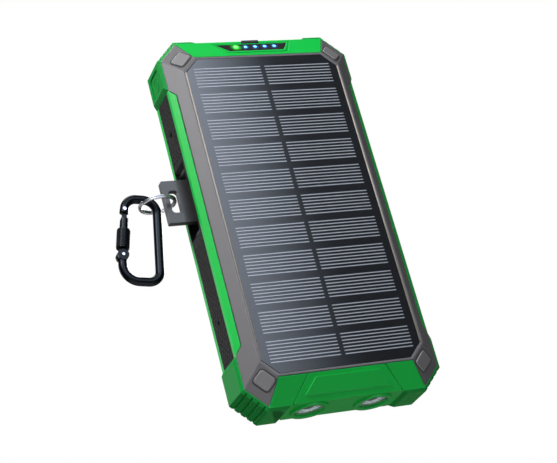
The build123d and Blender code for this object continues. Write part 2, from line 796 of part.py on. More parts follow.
def carabiner_gate():
    rod = on_gate(gate_len / 2 + 1.6) * Cylinder(1.7, gate_len - 3.2)
    ear = on_gate(0.9) * Box(3.2, 1.5, 4.6)
    ear = ear & (on_gate(0.9) * Rot(90, 0, 0) * Cylinder(2.5, 8))
    slot = on_gate(gate_len - 1.0) * Pos(0.6, 0, 0) * Box(6.0, 1.5, 3.2)
    hole = on_gate(0) * Rot(90, 0, 0) * Cylinder(0.65, 8)
    return rod + ear - slot - hole


def gate_pin():
    return on_gate(0) * Rot(90, 0, 0) * Cylinder(0.6, 4.6)


def nose_pin():
    here = hang * Pos(gate_high.X, 0, gate_high.Y + 3.9) * Rot(90, 0, 0)
    return here * Cylinder(0.75, 4.0)


def lock_sleeve():
    body = on_gate(7.4) * (Cylinder(2.6, 8.4) - Cylinder(1.75, 12))
    return body


def batteries():
    return group([block(-33, 33, y, y + pouch_t, -64, 56) for y in pouch_y])


def main():
    os.makedirs("parts", exist_ok=True)
    save(frame(), "mid_frame")
    for sx, left in ((-1, "left"), (1, "right")):
        for sz, end in ((-1, "torch"), (1, "port")):
            save(bumper(sx, sz), f"bumper_{end}_{left}")
        save(grip(sx), f"grip_{left}")
    save(front_shell(), "front_shell")
    save(rear_shell(), "rear_shell")
    glass, cells, back = solar_layers()
    save(glass, "solar_glass")
    save(cells, "solar_cells")
    save(back, "solar_backsheet")
    save(group(corner_pads(-1)), "front_corner_pads")
    save(rear_pads(), "rear_corner_pads")
    save(led_window(), "led_window")
    save(indicator_leds(), "indicator_leds")
    save(case_screws(), "case_screws")
    save(charging_ring(), "charging_ring")
    save(charging_disc(), "charging_disc")
    save(wireless_coil(), "wireless_coil")
    save(ferrite_sheet(), "ferrite_sheet")
    save(rod_y(status_x, status_z, status_r, face_y - 2.2, face_y - 0.1), "status_led")
    save(cable_clamp(), "cable_clamp")
    save(clamp_screws(), "clamp_screws")
    for i, name in enumerate(cable_names):
        save(strap(i), f"anchor_{name}")
        save(cable(i), f"cable_{name}")
        save(plug_body(i), f"plug_{name}")
        save(plug_tip(i), f"tip_{name}")
    save(usb_contacts(), "usb_a_contacts")
    save(port_cover(), "port_cover")
    usb, type_c = sockets()
    save(usb, "usb_a_sockets")
    save(type_c, "type_c_socket")
    lenses, reflectors, leds, board = torch_parts()
    save(lenses, "torch_lenses")
    save(reflectors, "torch_reflectors")
    save(leds, "torch_leds")
    save(board, "torch_board")
    save(block(-35, 35, 4.0, 4.0 + board_t, 58, 76.6), "main_board")
    save(batteries(), "battery_cells")
    save(power_button(), "power_button")
    save(block(-half_w + 3.6, -half_w + 6.6, -2.5, 2.5, button_z - 2.5, button_z + 2.5), "button_switch")
    save(lug(), "lug")
    save(lug_pins(), "lug_pins")
    save(split_ring(), "split_ring")
    save(carabiner_body(), "carabiner_body")
    save(carabiner_gate(), "carabiner_gate")
    save(gate_pin(), "gate_pin")
    save(nose_pin(), "nose_pin")
    save(lock_sleeve(), "lock_sleeve")


main()
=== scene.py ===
import json
import math
import random

import bmesh
import bpy
from mathutils import Matrix, Vector


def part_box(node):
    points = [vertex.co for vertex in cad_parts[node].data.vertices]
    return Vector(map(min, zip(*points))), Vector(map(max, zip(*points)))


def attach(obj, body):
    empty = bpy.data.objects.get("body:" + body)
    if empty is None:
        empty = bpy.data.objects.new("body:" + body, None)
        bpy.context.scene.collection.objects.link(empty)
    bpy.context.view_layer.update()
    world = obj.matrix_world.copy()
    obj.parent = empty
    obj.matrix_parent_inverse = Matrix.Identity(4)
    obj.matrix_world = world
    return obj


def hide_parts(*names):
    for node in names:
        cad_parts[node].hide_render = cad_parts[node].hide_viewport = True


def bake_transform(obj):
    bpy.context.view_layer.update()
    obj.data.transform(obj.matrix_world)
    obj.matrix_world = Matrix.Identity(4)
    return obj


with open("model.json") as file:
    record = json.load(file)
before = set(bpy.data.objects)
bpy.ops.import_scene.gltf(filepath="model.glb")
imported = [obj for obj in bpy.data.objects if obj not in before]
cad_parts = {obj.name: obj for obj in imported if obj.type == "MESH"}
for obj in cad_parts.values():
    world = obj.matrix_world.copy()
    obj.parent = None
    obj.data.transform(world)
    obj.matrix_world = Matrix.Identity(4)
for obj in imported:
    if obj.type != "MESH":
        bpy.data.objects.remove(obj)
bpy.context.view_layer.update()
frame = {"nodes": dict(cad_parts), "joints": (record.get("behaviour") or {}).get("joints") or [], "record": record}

mm = 0.001
nodes = frame["nodes"]
slots = {part["node"]: part["material_slot"] for part in frame["record"]["subparts"]}


def corners(name):
    # the low and high corner of a node's box
    return [Vector(c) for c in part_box(name)]


# Heights and depths that everything else is placed from
panelLow, panelHigh = corners("solar_glass")
gripLow, gripHigh = corners("grip_left")
midZ = (panelLow.z + panelHigh.z) / 2   # middle of the case
faceY = -panelLow.y                     # half depth at the two faces
sideX = -gripLow.x                      # outer skin of the rubber grips
print("frame loaded:", len(nodes), "nodes")


def linear(code):
    # an sRGB hex colour as linear RGBA
    parts = [int(code[i:i + 2], 16) / 255 for i in (0, 2, 4)]
    return tuple(c / 12.92 if c <= 0.04045 else ((c + 0.055) / 1.055) ** 2.4 for c in parts) + (1.0,)


def addNode(tree, kind, inputs=None, **settings):
    # one node with its settings, values and links; a node given as a value stands for its first output
    made = tree.nodes.new(kind)
    for key, value in settings.items():
        setattr(made, key, value)
    for key, value in (inputs or {}).items():
        if isinstance(value, bpy.types.Node):
            value = value.outputs[0]
        if isinstance(value, bpy.types.NodeSocket):
            tree.links.new(value, made.inputs[key])
        else:
            made.inputs[key].default_value = value
    return made


def makeMesh(name, points, faces, material, smooth=False):
    mesh = bpy.data.meshes.new(name)
    mesh.from_pydata([tuple(p) for p in points], [], faces)
    mesh.materials.append(material)
    mesh.polygons.foreach_set("use_smooth", [smooth] * len(faces))
    mesh.update()
    made = bpy.data.objects.new(name, mesh)
    bpy.context.scene.collection.objects.link(made)
    return made


def joined(name, shapes, material, smooth=False):
    # several (points, faces) shapes as one mesh
    points, faces = [], []
    for somePoints, someFaces in shapes:
        start = len(points)
        points += somePoints
        faces += [[i + start for i in face] for face in someFaces]
    made = makeMesh(name, points, faces, material, smooth)
    skin = bmesh.new()
    skin.from_mesh(made.data)
    bmesh.ops.recalc_face_normals(skin, faces=skin.faces)
    skin.to_mesh(made.data)
    skin.free()
    return made


def ride(piece, body, slotName, *replaced):
    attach(piece, body)
    if replaced:
        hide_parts(*replaced)
    return piece


def bakeModifiers(piece):
    # turns live modifiers into a plain mesh
    graph = bpy.context.evaluated_depsgraph_get()
    mesh = bpy.data.meshes.new_from_object(piece.evaluated_get(graph))
    piece.modifiers.clear()
    old = piece.data
    piece.data = mesh
    bpy.data.meshes.remove(old)
    return piece


shot = {
    "target": (-5.9 * mm, 0.9 * mm, 79.0 * mm),
    "distance": 0.6851,
    "heading": 25.48,      # degrees that the view turns from +Y towards +X
    "rise": 22.60,         # degrees that the view looks up
    "roll": 15.35,         # degrees that the charger leans to the left
    "lens": 108.0,
    "clipStart": 0.01,
}


def addCamera():
    heading, rise = math.radians(shot["heading"]), math.radians(shot["rise"])
    level = math.cos(rise)
    forward = Vector((math.sin(heading) * level, math.cos(heading) * level, math.sin(rise)))
    lean = Matrix.Rotation(-math.radians(shot["roll"]), 3, "Z").to_quaternion()
    optics = bpy.data.cameras.new("camera")
    optics.lens = shot["lens"]
    optics.clip_start = shot["clipStart"]
    camera = bpy.data.objects.new("camera", optics)
    camera.rotation_mode = "QUATERNION"
    camera.rotation_quaternion = forward.to_track_quat("-Z", "Y") @ lean
    camera.location = Vector(shot["target"]) - forward * shot["distance"]
    bpy.context.scene.collection.objects.link(camera)
    bpy.context.scene.camera = camera


studio = {
    "background": "FFFFFF",
    "ambient": 0.11,
    "diffuseOnly": ("fillFront", "underBack"),
    "card": {"colour": "DCE6F6", "y": -1.0, "x": (-0.9, 0.60), "z": (-0.1, 1.0), "fadeX": (0.36, 0.52),
             "fadeZ": (0.15, 0.85), "lowShare": 0.25, "strength": 8.0},
    "lowerCard": {"z": -0.5, "half": 0.6, "strength": 1.5},
    "floor": {"colour": "F2F2F2", "glow": 0.7, "half": 2.5},
    "lamps": [
        # name, position, size, watts, colour
        ("keyFrontLeft", (-0.75, -0.62, 0.85), 0.55, 11.5, "FFFFFF"),
        ("fillFront", (0.25, -1.1, 0.25), 0.9, 2.0, "F4F8FF"),
        ("topSoft", (-0.1, 0.05, 1.1), 0.6, 4.0, "FFFFFF"),
        ("keyBack", (0.55, 0.80, 0.60), 0.55, 11.0, "FFFFFF"),
        ("fillBack", (-0.7, 0.9, 0.3), 0.8, 2.6, "F4F8FF"),
        ("underSoft", (-0.35, -0.55, -0.45), 0.6, 0.45, "FFFFFF"),
        ("underBack", (0.40, 0.80, -0.42), 0.7, 0.7, "FFFFFF"),
    ],
}


def addLights():
    for name, place, size, watts, colour in studio["lamps"]:
        lamp = bpy.data.lights.new(name, "AREA")
        lamp.shape = "DISK"
        lamp.size = size
        lamp.energy = watts
        lamp.color = linear(colour)[:3]
        made = bpy.data.objects.new(name, lamp)
        made.location = place
        made.rotation_euler = (Vector(place) - Vector((0, 0, midZ))).to_track_quat("Z", "Y").to_euler()
        made.visible_glossy = name not in studio["diffuseOnly"]
        bpy.context.scene.collection.objects.link(made)
    world = bpy.data.worlds.new("studio")
    world.use_nodes = True
    tree = world.node_tree
    tree.nodes.clear()
    white = linear(studio["background"])
    seen = addNode(tree, "ShaderNodeBackground", {"Color": white, "Strength": 1.0})
    ambient = addNode(tree, "ShaderNodeBackground", {"Color": white, "Strength": studio["ambient"]})
    path = addNode(tree, "ShaderNodeLightPath")
    mix = addNode(tree, "ShaderNodeMixShader", {0: path.outputs["Is Camera Ray"], 1: ambient, 2: seen})
    addNode(tree, "ShaderNodeOutputWorld", {"Surface": mix})
    bpy.context.scene.world = world
    bpy.context.scene.view_settings.view_transform = "Standard"


def newMaterial(name):
    # a material with an empty tree
    material = bpy.data.materials.new(name)
    material.use_nodes = True
    material.node_tree.nodes.clear()
    return material, material.node_tree


def surface(tree, kind, inputs):
    # the shader that a material ends in
    addNode(tree, "ShaderNodeOutputMaterial", {"Surface": addNode(tree, kind, inputs)})


def levelSquare(name, half, z, material):
    points = [(-half, -half, z), (half, -half, z), (half, half, z), (-half, half, z)]
    return makeMesh(name, points, [[0, 1, 2, 3]], material)


def addLowerCard():
    # a white card under the charger, for the torches, the ring and the carabiner to mirror
    card = studio["lowerCard"]
    material, tree = newMaterial("whiteCard")
    surface(tree, "ShaderNodeEmission", {"Strength": card["strength"]})
    return levelSquare("whiteCard", card["half"], card["z"], material)


def addReflectorCard():
    # a lit card in front, fading out to one side and downwards, for the panel to mirror
    card = studio["card"]
    material, tree = newMaterial("litCard")
    place = addNode(tree, "ShaderNodeTexCoord").outputs["Object"]
    parts = addNode(tree, "ShaderNodeSeparateXYZ", {0: place}).outputs
    (startX, endX), (startZ, endZ) = card["fadeX"], card["fadeZ"]
    across = addNode(tree, "ShaderNodeMapRange", {0: parts["X"], 1: startX, 2: endX, 3: 1.0, 4: 0.0},
                     interpolation_type="SMOOTHSTEP")
    upward = addNode(tree, "ShaderNodeMapRange",
                     {0: parts["Z"], 1: startZ, 2: endZ, 3: card["lowShare"], 4: 1.0})
    both = addNode(tree, "ShaderNodeMath", {0: across, 1: upward}, operation="MULTIPLY")
    power = addNode(tree, "ShaderNodeMath", {0: both, 1: card["strength"]}, operation="MULTIPLY")
    surface(tree, "ShaderNodeEmission", {"Color": linear(card["colour"]), "Strength": power})
    (x0, x1), (z0, z1), y = card["x"], card["z"], card["y"]
    points = [(x0, y, z0), (x1, y, z0), (x1, y, z1), (x0, y, z1)]
    for piece in (makeMesh("litCard", points, [[0, 1, 2, 3]], material), addLowerCard()):
        piece.visible_camera = False
        piece.visible_diffuse = False
        piece.visible_shadow = False


def addFloor():
    # a pale floor that is seen from above only, so that it doesn't hide the charger from below
    material, tree = newMaterial("paleFloor")
    lit = addNode(tree, "ShaderNodeBsdfDiffuse", {"Color": linear(studio["floor"]["colour"])})
    # the glow keeps its far part as white as its near part
    glow = addNode(tree, "ShaderNodeEmission", {"Strength": studio["floor"]["glow"]})
    top = addNode(tree, "ShaderNodeAddShader", {0: lit, 1: glow})
    below = addNode(tree, "ShaderNodeBsdfTransparent")
    side = addNode(tree, "ShaderNodeNewGeometry").outputs["Backfacing"]
    surface(tree, "ShaderNodeMixShader", {0: side, 1: top, 2: below})
    floor = levelSquare("floor", studio["floor"]["half"], 0, material)
    floor.visible_shadow = False
    floor.visible_diffuse = False
    floor.visible_glossy = False


addCamera()
addLights()
addReflectorCard()
addFloor()
print("camera, lights and floor ready")


# What all mouldings share: size of the colour drift, depth of the grain, how sharp an edge shows its painted
# highlight
moulding = {"driftMm": 38, "grainDepth": 0.05, "rim": (0.985, 0.85), "sheenSpread": 0.05,
            "coatRoughness": 0.12, "samples": 4}


def moulded(name, colour, deep, edge, roughness, grainMm, relief, edgeMm=0.35, coat=0.0, edgeShare=0.7,
            specular=0.5, darkBox=None):
    # injection-moulded plastic or rubber: spark-eroded grain, slow colour drift, and a painted highlight that
    # makes edges a little lighter.
    # A dark box paints one colour over everything inside a box: (colour, low corner, high corner)
    material, tree = newMaterial(name)
    place = addNode(tree, "ShaderNodeTexCoord").outputs["Object"]
    grain = addNode(tree, "ShaderNodeTexNoise", {"Vector": place, "Scale": 1000 / grainMm, "Detail": 2.0})
    drift = addNode(tree, "ShaderNodeTexNoise",
                    {"Vector": place, "Scale": 1000 / moulding["driftMm"], "Detail": 3.0})
    body = addNode(tree, "ShaderNodeMix", {0: drift.outputs["Fac"], 6: linear(deep), 7: linear(colour)},
                   data_type="RGBA")
    rounded = addNode(tree, "ShaderNodeBevel", {"Radius": edgeMm * mm}, samples=moulding["samples"])
    flat = addNode(tree, "ShaderNodeNewGeometry").outputs["Normal"]
    turn = addNode(tree, "ShaderNodeVectorMath", {0: rounded, 1: flat}, operation="DOT_PRODUCT")
    # the edge colour is a painted highlight: edges turn lighter as though they catch the light
    smoothAt, highlightAt = moulding["rim"]
    rim = addNode(tree, "ShaderNodeMapRange",
                  {0: turn.outputs["Value"], 1: smoothAt, 2: highlightAt, 3: 0.0, 4: edgeShare})
    tint = addNode(tree, "ShaderNodeMix", {0: rim, 6: body.outputs[2], 7: linear(edge)}, data_type="RGBA")
    # a dark box paints its colour over everything inside it: painted shade on the plug pocket's floor
    if darkBox:
        boxColour, low, high = darkBox
        parts = addNode(tree, "ShaderNodeSeparateXYZ", {0: place}).outputs
        inside = None
        for axis in range(3):
            centre, half = (low[axis] + high[axis]) / 2, (high[axis] - low[axis]) / 2
            near = addNode(tree, "ShaderNodeMath", {0: parts[axis], 1: centre, 2: half}, operation="COMPARE")
            inside = near if inside is None else addNode(
                tree, "ShaderNodeMath", {0: inside, 1: near}, operation="MULTIPLY")
        tint = addNode(tree, "ShaderNodeMix", {0: inside, 6: tint.outputs[2], 7: linear(boxColour)},
                       data_type="RGBA")
    spread = moulding["sheenSpread"]
    sheen = addNode(tree, "ShaderNodeMapRange",
                    {0: grain.outputs["Fac"], 1: 0.3, 2: 0.7, 3: roughness - spread, 4: roughness + spread})
    bump = addNode(tree, "ShaderNodeBump", {"Strength": relief, "Distance": moulding["grainDepth"] * mm,
                                            "Height": grain.outputs["Fac"], "Normal": rounded})
    surface(tree, "ShaderNodeBsdfPrincipled", {
        "Base Color": tint.outputs[2], "Roughness": sheen, "Normal": bump, "Coat Weight": coat,
        "Coat Roughness": moulding["coatRoughness"], "Specular IOR Level": specular})
    return material


def metal(name, colour, roughness, scratchMm, stretch=(1, 1, 14), relief=0.15, edgeMm=0.15, metallic=1.0):
    # a metal with fine scratches along one way; one under a hazy lacquer is less metallic
    material, tree = newMaterial(name)
    place = addNode(tree, "ShaderNodeTexCoord").outputs["Object"]
    along = addNode(tree, "ShaderNodeMapping", {"Vector": place, "Scale": stretch})
    scratch = addNode(tree, "ShaderNodeTexNoise",
                      {"Vector": along, "Scale": 1000 / scratchMm / 4, "Detail": 3.0})
    rounded = addNode(tree, "ShaderNodeBevel", {"Radius": edgeMm * mm}, samples=moulding["samples"])
    bump = addNode(tree, "ShaderNodeBump", {"Strength": relief, "Distance": 0.03 * mm,
                                            "Height": scratch.outputs["Fac"], "Normal": rounded})
    blur = addNode(tree, "ShaderNodeMapRange",
                   {0: scratch.outputs["Fac"], 1: 0.25, 2: 0.75, 3: roughness * 0.75, 4: roughness * 1.3})
    surface(tree, "ShaderNodeBsdfPrincipled", {
        "Base Color": linear(colour), "Metallic": metallic, "Roughness": blur, "Normal": bump})
    return material


def glowing(name, colour, strength):
    # a lit diode under its clear dome, with a faint speckle
    material, tree = newMaterial(name)
    place = addNode(tree, "ShaderNodeTexCoord").outputs["Object"]
    speckle = addNode(tree, "ShaderNodeTexNoise", {"Vector": place, "Scale": 1000 / 0.4})
    tint = addNode(tree, "ShaderNodeMapRange", {0: speckle.outputs["Fac"], 3: 0.85, 4: 1.0})
    dim = addNode(tree, "ShaderNodeMix", {0: tint, 6: (0, 0, 0, 1), 7: linear(colour)}, data_type="RGBA")
    surface(tree, "ShaderNodeBsdfPrincipled", {
        "Base Color": linear(colour), "Roughness": 0.25,
        "Emission Color": dim.outputs[2], "Emission Strength": strength})
    return material


def haloed(name, colour, strength):
    # light that spreads over the surface round a lamp: clear at the rim, from the piece's own fade attribute
    material, tree = newMaterial(name)
    fade = addNode(tree, "ShaderNodeAttribute", attribute_name="fade").outputs["Fac"]
    soft = addNode(tree, "ShaderNodeMath", {0: fade, 1: 1.6}, operation="POWER")
    clear = addNode(tree, "ShaderNodeBsdfTransparent")
    light = addNode(tree, "ShaderNodeEmission", {"Color": linear(colour), "Strength": strength})
    surface(tree, "ShaderNodeMixShader", {0: soft, 1: clear, 2: light})
    return material


def clearLens(name):
    # polycarbonate cover: clear straight on, reflecting at a slant
    material, tree = newMaterial(name)
    turned = addNode(tree, "ShaderNodeLayerWeight", {"Blend": 0.5}).outputs["Facing"]
    slant = addNode(tree, "ShaderNodeMath", {0: turned, 1: 4.0}, operation="POWER")
    clear = addNode(tree, "ShaderNodeBsdfTransparent", {"Color": linear("F4F8FA")})
    gloss = addNode(tree, "ShaderNodeBsdfGlossy", {"Roughness": 0.06})
    surface(tree, "ShaderNodeMixShader", {0: slant, 1: clear, 2: gloss})
    return material


film = {
    "cell": ("07080B", "0B0D12"), "crystalMm": 6,   # the silicon's two shades, size of its crystals
    "reflectionTint": "1B2029", "reflectionTo": 0.55,             # shade of the painted reflection, share of the width it fades over
    "rippleMm": 22, "rippleDepth": 0.2, "rippleStrength": 0.05,
    "roughness": 0.40, "specular": 0.15, "coatRoughness": 0.05,
}


def panelFilm():
    # laminated solar panel: blue-black silicon under a glossy resin film, with a painted reflection that lightens
    # its -X side
    material, tree = newMaterial("laminatedSilicon")
    place = addNode(tree, "ShaderNodeTexCoord").outputs["Object"]
    parts = addNode(tree, "ShaderNodeSeparateXYZ", {0: place}).outputs
    # painted reflection: a lighter shade that fades out from the panel's -X edge
    across = addNode(tree, "ShaderNodeMapRange",
                     {0: parts["X"], 1: panelLow.x, 2: panelHigh.x * film["reflectionTo"], 3: 1.0, 4: 0.0},
                     interpolation_type="SMOOTHSTEP")
    crystal = addNode(tree, "ShaderNodeTexVoronoi", {"Vector": place, "Scale": 1000 / film["crystalMm"]})
    dark, pale = (linear(shade) for shade in film["cell"])
    flecks = addNode(tree, "ShaderNodeMix", {0: crystal.outputs["Distance"], 6: dark, 7: pale},
                     data_type="RGBA")
    body = addNode(tree, "ShaderNodeMix", {0: across, 6: flecks.outputs[2], 7: linear(film["reflectionTint"])},
                   data_type="RGBA")
    ripple = addNode(tree, "ShaderNodeTexNoise",
                     {"Vector": place, "Scale": 1000 / film["rippleMm"], "Detail": 1.0})
    bump = addNode(tree, "ShaderNodeBump", {
        "Strength": film["rippleStrength"], "Distance": film["rippleDepth"] * mm,
        "Height": ripple.outputs["Fac"]})
    surface(tree, "ShaderNodeBsdfPrincipled", {
        "Base Color": body.outputs[2], "Normal": bump, "Roughness": film["roughness"],
        "Specular IOR Level": film["specular"], "Coat Weight": 1.0, "Coat Roughness": film["coatRoughness"]})
    return material


# Boxes that the mouldings paint dark: round the lug's recess, and the floor of the plugs' pocket, where the near
# black is painted shade
recessLow = (-sideX - 1.0 * mm, gripLow.y - 0.15 * mm, midZ - 8.0 * mm)
recessHigh = (-sideX + 7.0 * mm, gripHigh.y + 0.15 * mm, midZ + 33.0 * mm)
pocketLow = (-35.5 * mm, faceY - 6.0 * mm, midZ + 0.5 * mm)
pocketHigh = (35.5 * mm, faceY - 2.7 * mm, midZ + 38.0 * mm)

# Glossy ABS, moulded in bright green: sharp highlights on every edge, from its gloss and from a painted highlight
# in a lighter green
greenLook = ("00DC50", "00C648", "40FF8C", 0.38, 0.5, 0.10)
greenAbs = moulded("greenAbs", *greenLook, coat=0.04, specular=0.2)
# The frame's moulding is painted black inside a box round the lug's recess
frameAbs = moulded("frameAbs", *greenLook, coat=0.04, specular=0.2, darkBox=("161616", recessLow, recessHigh))
# Soft-touch TPU of the bumpers: the same green, a little deeper and duller
greenTpu = moulded("greenTpu", "00A83E", "009436", "20E070", 0.48, 0.7, 0.22, specular=0.12)
# Satin grey ABS of the solar shell
greyAbs = moulded("greyAbs", "6F6C6E", "676466", "9A979A", 0.42, 0.6, 0.14)
# The wireless shell is a lighter grey, with the floor of its plug pocket painted near black as painted shade
shellAbs = moulded("shellAbs", "8A8789", "817E80", "BBB8BA", 0.42, 0.6, 0.14,
                   darkBox=("1B1A1B", pocketLow, pocketHigh))
# Lighter grey inserts in the corners
padGrey = moulded("padGrey", "8E8C8E", "848284", "C4C2C4", 0.36, 0.5, 0.10)
# Nitrile rubber grips: near black with a dry sheen; their studs are painted lighter than the rubber round them, a
# painted highlight
gripRubber = moulded("gripRubber", "161414", "121010", "343030", 0.66, 0.5, 0.30, specular=0.3)
gripStudHighlight = moulded("gripStudHighlight", "2A2727", "232020", "4E4949", 0.46, 0.5, 0.10, edgeMm=0.12)
# Softer rubber of the port cover
coverRubber = moulded("coverRubber", "232323", "1C1C1C", "444444", 0.60, 0.5, 0.25)
# Matt TPE jacket of the flat cables
cableTpe = moulded("cableTpe", "3C3B3C", "343334", "6A6869", 0.50, 0.4, 0.16, edgeMm=0.25)
# ABS overmoulds of the plugs
plugAbs = moulded("plugAbs", "4A494A", "424142", "7A787A", 0.46, 0.4, 0.12, edgeMm=0.3)
# Smoked acrylic window over the indicator diodes
smokedAcrylic = moulded("smokedAcrylic", "2E2B2D", "262425", "5E5A5C", 0.22, 1.2, 0.02, coat=0.15,
                        specular=0.3)
# Polycarbonate trim with a woven look: pale outer band, dark inner band, each with its raised cells
trimPale = moulded("trimPale", "B9ADB4", "AEA2A9", "DDD6DA", 0.38, 0.5, 0.10, edgeMm=0.12)
trimPaleCell = moulded("trimPaleCell", "8D8489", "857C81", "BDB5BA", 0.42, 0.4, 0.10, edgeMm=0.12)
trimDark = moulded("trimDark", "6B6A6B", "626162", "8E8D8E", 0.40, 0.5, 0.10, edgeMm=0.12)
trimDarkCell = moulded("trimDarkCell", "3E3D3E", "373637", "6A696A", 0.45, 0.4, 0.10, edgeMm=0.12)
# Mint plastic that glows after dark
mintInsert = moulded("mintInsert", "6BFFB4", "5CF5A8", "B4FFD8", 0.38, 0.5, 0.05)
# Satin silver paint of the charging face's edging
silverEdge = moulded("silverEdge", "CFCDCF", "C6C4C6", "EFEDEF", 0.34, 0.3, 0.03, edgeMm=0.1)
# Anodised aluminium of the carabiner: black with a soft shine
blackAnodised = metal("blackAnodised", "1B1D20", 0.28, 0.3)
# Black-oxide steel of the screws
blackSteel = metal("blackSteel", "6A6A6E", 0.40, 0.2)
# Powder-coated steel of the lug
lugCoat = moulded("lugCoat", "363434", "2E2C2C", "807C7C", 0.40, 0.35, 0.25, edgeMm=0.3, coat=0.2)
# Nickel-plated spring steel of the split ring
nickel = metal("nickel", "B4B4B9", 0.26, 0.3)
# Bright nickel tips of the plugs
tipNickel = metal("tipNickel", "FAFAFC", 0.24, 0.8, relief=0.03, metallic=0.4)
# Gold flash on the contacts
goldFlash = metal("goldFlash", "FFE680", 0.22, 0.8, relief=0.03, metallic=0.4)
# Vacuum-plated reflector
mirrorPlate = metal("mirrorPlate", "F8F8F8", 0.16, 2.0, relief=0.01, metallic=0.4)
# Chrome ring of the charging pad, lit blue from under its edge
padChrome = metal("padChrome", "D2D0EE", 0.36, 0.5)
# Silver paste of the collector lines
silverPaste = metal("silverPaste", "9A9C9F", 0.46, 0.3)
# Cream bead of sealant along the panel
sealBead = moulded("sealBead", "C8BEB0", "BDB3A6", "E6DED2", 0.4, 0.6, 0.05, edgeMm=0.1)
# Pad-printed inks of the charging pad and the plugs
paleInk = moulded("paleInk", "D9D9DA", "CFCFD0", "D9D9DA", 0.5, 0.3, 0.02, edgeMm=0.02)
darkInk = moulded("darkInk", "1A1A1B", "141415", "1A1A1B", 0.5, 0.3, 0.02, edgeMm=0.02)
boltInk = moulded("boltInk", "1550F0", "0A38D8", "2F7BFF", 0.35, 0.3, 0.02, edgeMm=0.02)
markInk = moulded("markInk", "242424", "1E1E1E", "242424", 0.4, 0.3, 0.02, edgeMm=0.02)
# Epoxy of the unlit torch diodes, under their smoked caps
dieBlack = moulded("dieBlack", "18181A", "121214", "3A3A3E", 0.3, 0.3, 0.03, edgeMm=0.1)
# Lit epoxy domes, the light guide of the charging ring, and the light they all throw on the shell
diodeGreen = glowing("diodeGreen", "5CFF5C", 3.0)
diodeBlue = glowing("diodeBlue", "6FC6FF", 3.0)
ringLight = glowing("ringLight", "7DBBFF", 1.15)
haloGreen = haloed("haloGreen", "3DFF3D", 1.6)
haloBlue = haloed("haloBlue", "2F8CFF", 1.5)
padHalo = haloed("padHalo", "6FB0FF", 0.75)
polycarbonate = clearLens("polycarbonate")
silicon = panelFilm()
# Sealed inner pieces
copper = metal("copper", "C8794F", 0.35, 0.4)
ferrite = moulded("ferrite", "1D1D1E", "151516", "2A2A2B", 0.7, 0.4, 0.1)
greenBoard = moulded("greenBoard", "0B5A2C", "084A24", "1A7A40", 0.35, 1.0, 0.05)
foil = metal("foil", "C9CBCE", 0.30, 1.0)

cableNames = ("usb_a", "micro", "type_c", "slim")
finishes = {
    greenAbs: ["cable_clamp"],
    frameAbs: ["mid_frame"],
    greenTpu: [f"bumper_{end}_{side}" for end in ("torch", "port") for side in ("left", "right")]
    + ["power_button"],
    greyAbs: ["front_shell", "charging_disc"],
    shellAbs: ["rear_shell"],
    padGrey: ["front_corner_pads", "rear_corner_pads"],
    gripRubber: ["grip_left", "grip_right"],
    coverRubber: ["port_cover"],
    silicon: ["solar_glass", "solar_cells", "solar_backsheet"],
    smokedAcrylic: ["led_window"],
    diodeBlue: ["indicator_leds"],
    diodeGreen: ["status_led"],
    blackSteel: ["case_screws", "clamp_screws"],
    padChrome: ["charging_ring"],
    plugAbs: ["tip_usb_a"] + ["plug_" + name for name in cableNames],
    goldFlash: ["usb_a_contacts"],
    tipNickel: ["tip_micro", "tip_type_c", "tip_slim", "usb_a_sockets", "type_c_socket", "lug_pins",
                "button_switch"],
    cableTpe: [kind + name for kind in ("anchor_", "cable_") for name in cableNames],
    polycarbonate: ["torch_lenses"],
    mirrorPlate: ["torch_reflectors", "torch_leds"],
    greenBoard: ["torch_board", "main_board"],
    copper: ["wireless_coil"],
    ferrite: ["ferrite_sheet"],
    foil: ["battery_cells"],
    lugCoat: ["lug"],
    nickel: ["split_ring", "gate_pin", "nose_pin"],
    blackAnodised: ["carabiner_body", "carabiner_gate", "lock_sleeve"],
}
for material, names in finishes.items():
    for name in names:
        for place in nodes[name].material_slots:
            place.material = material
print("materials ready")


def newTree(name):
    tree = bpy.data.node_groups.new(name, "GeometryNodeTree")
    tree.interface.new_socket("Geometry", in_out="INPUT", socket_type="NodeSocketGeometry")
    tree.interface.new_socket("Geometry", in_out="OUTPUT", socket_type="NodeSocketGeometry")
    return tree


def runTree(piece, tree, values):
    # runs a tree on a piece with values for its named inputs, and keeps the result as a plain mesh
    live = piece.modifiers.new(tree.name, "NODES")
    live.node_group = tree
    for socket in tree.interface.items_tree:
        if socket.in_out == "INPUT" and socket.name in values:
            live[socket.identifier] = values[socket.name]
    return bakeModifiers(piece)


def repeatTree(name, kind, shape):
    # sets one shape on every point, turned and stretched as the point's own attributes say
    tree = newTree(name)
    tree.interface.new_socket("Material", in_out="INPUT", socket_type="NodeSocketMaterial")
    source = addNode(tree, "NodeGroupInput").outputs
    one = addNode(tree, kind, shape)
    turn, stretch = (
        addNode(tree, "GeometryNodeInputNamedAttribute", {"Name": key}, data_type="FLOAT_VECTOR")
        for key in ("turn", "stretch"))
    spread = addNode(tree, "GeometryNodeInstanceOnPoints", {
        "Points": source["Geometry"], "Instance": one.outputs["Mesh"],
        "Rotation": turn.outputs["Attribute"], "Scale": stretch.outputs["Attribute"]})
    real = addNode(tree, "GeometryNodeRealizeInstances", {0: spread})
    coloured = addNode(tree, "GeometryNodeSetMaterial", {0: real, "Material": source["Material"]})
    addNode(tree, "NodeGroupOutput", {0: coloured})
    return tree


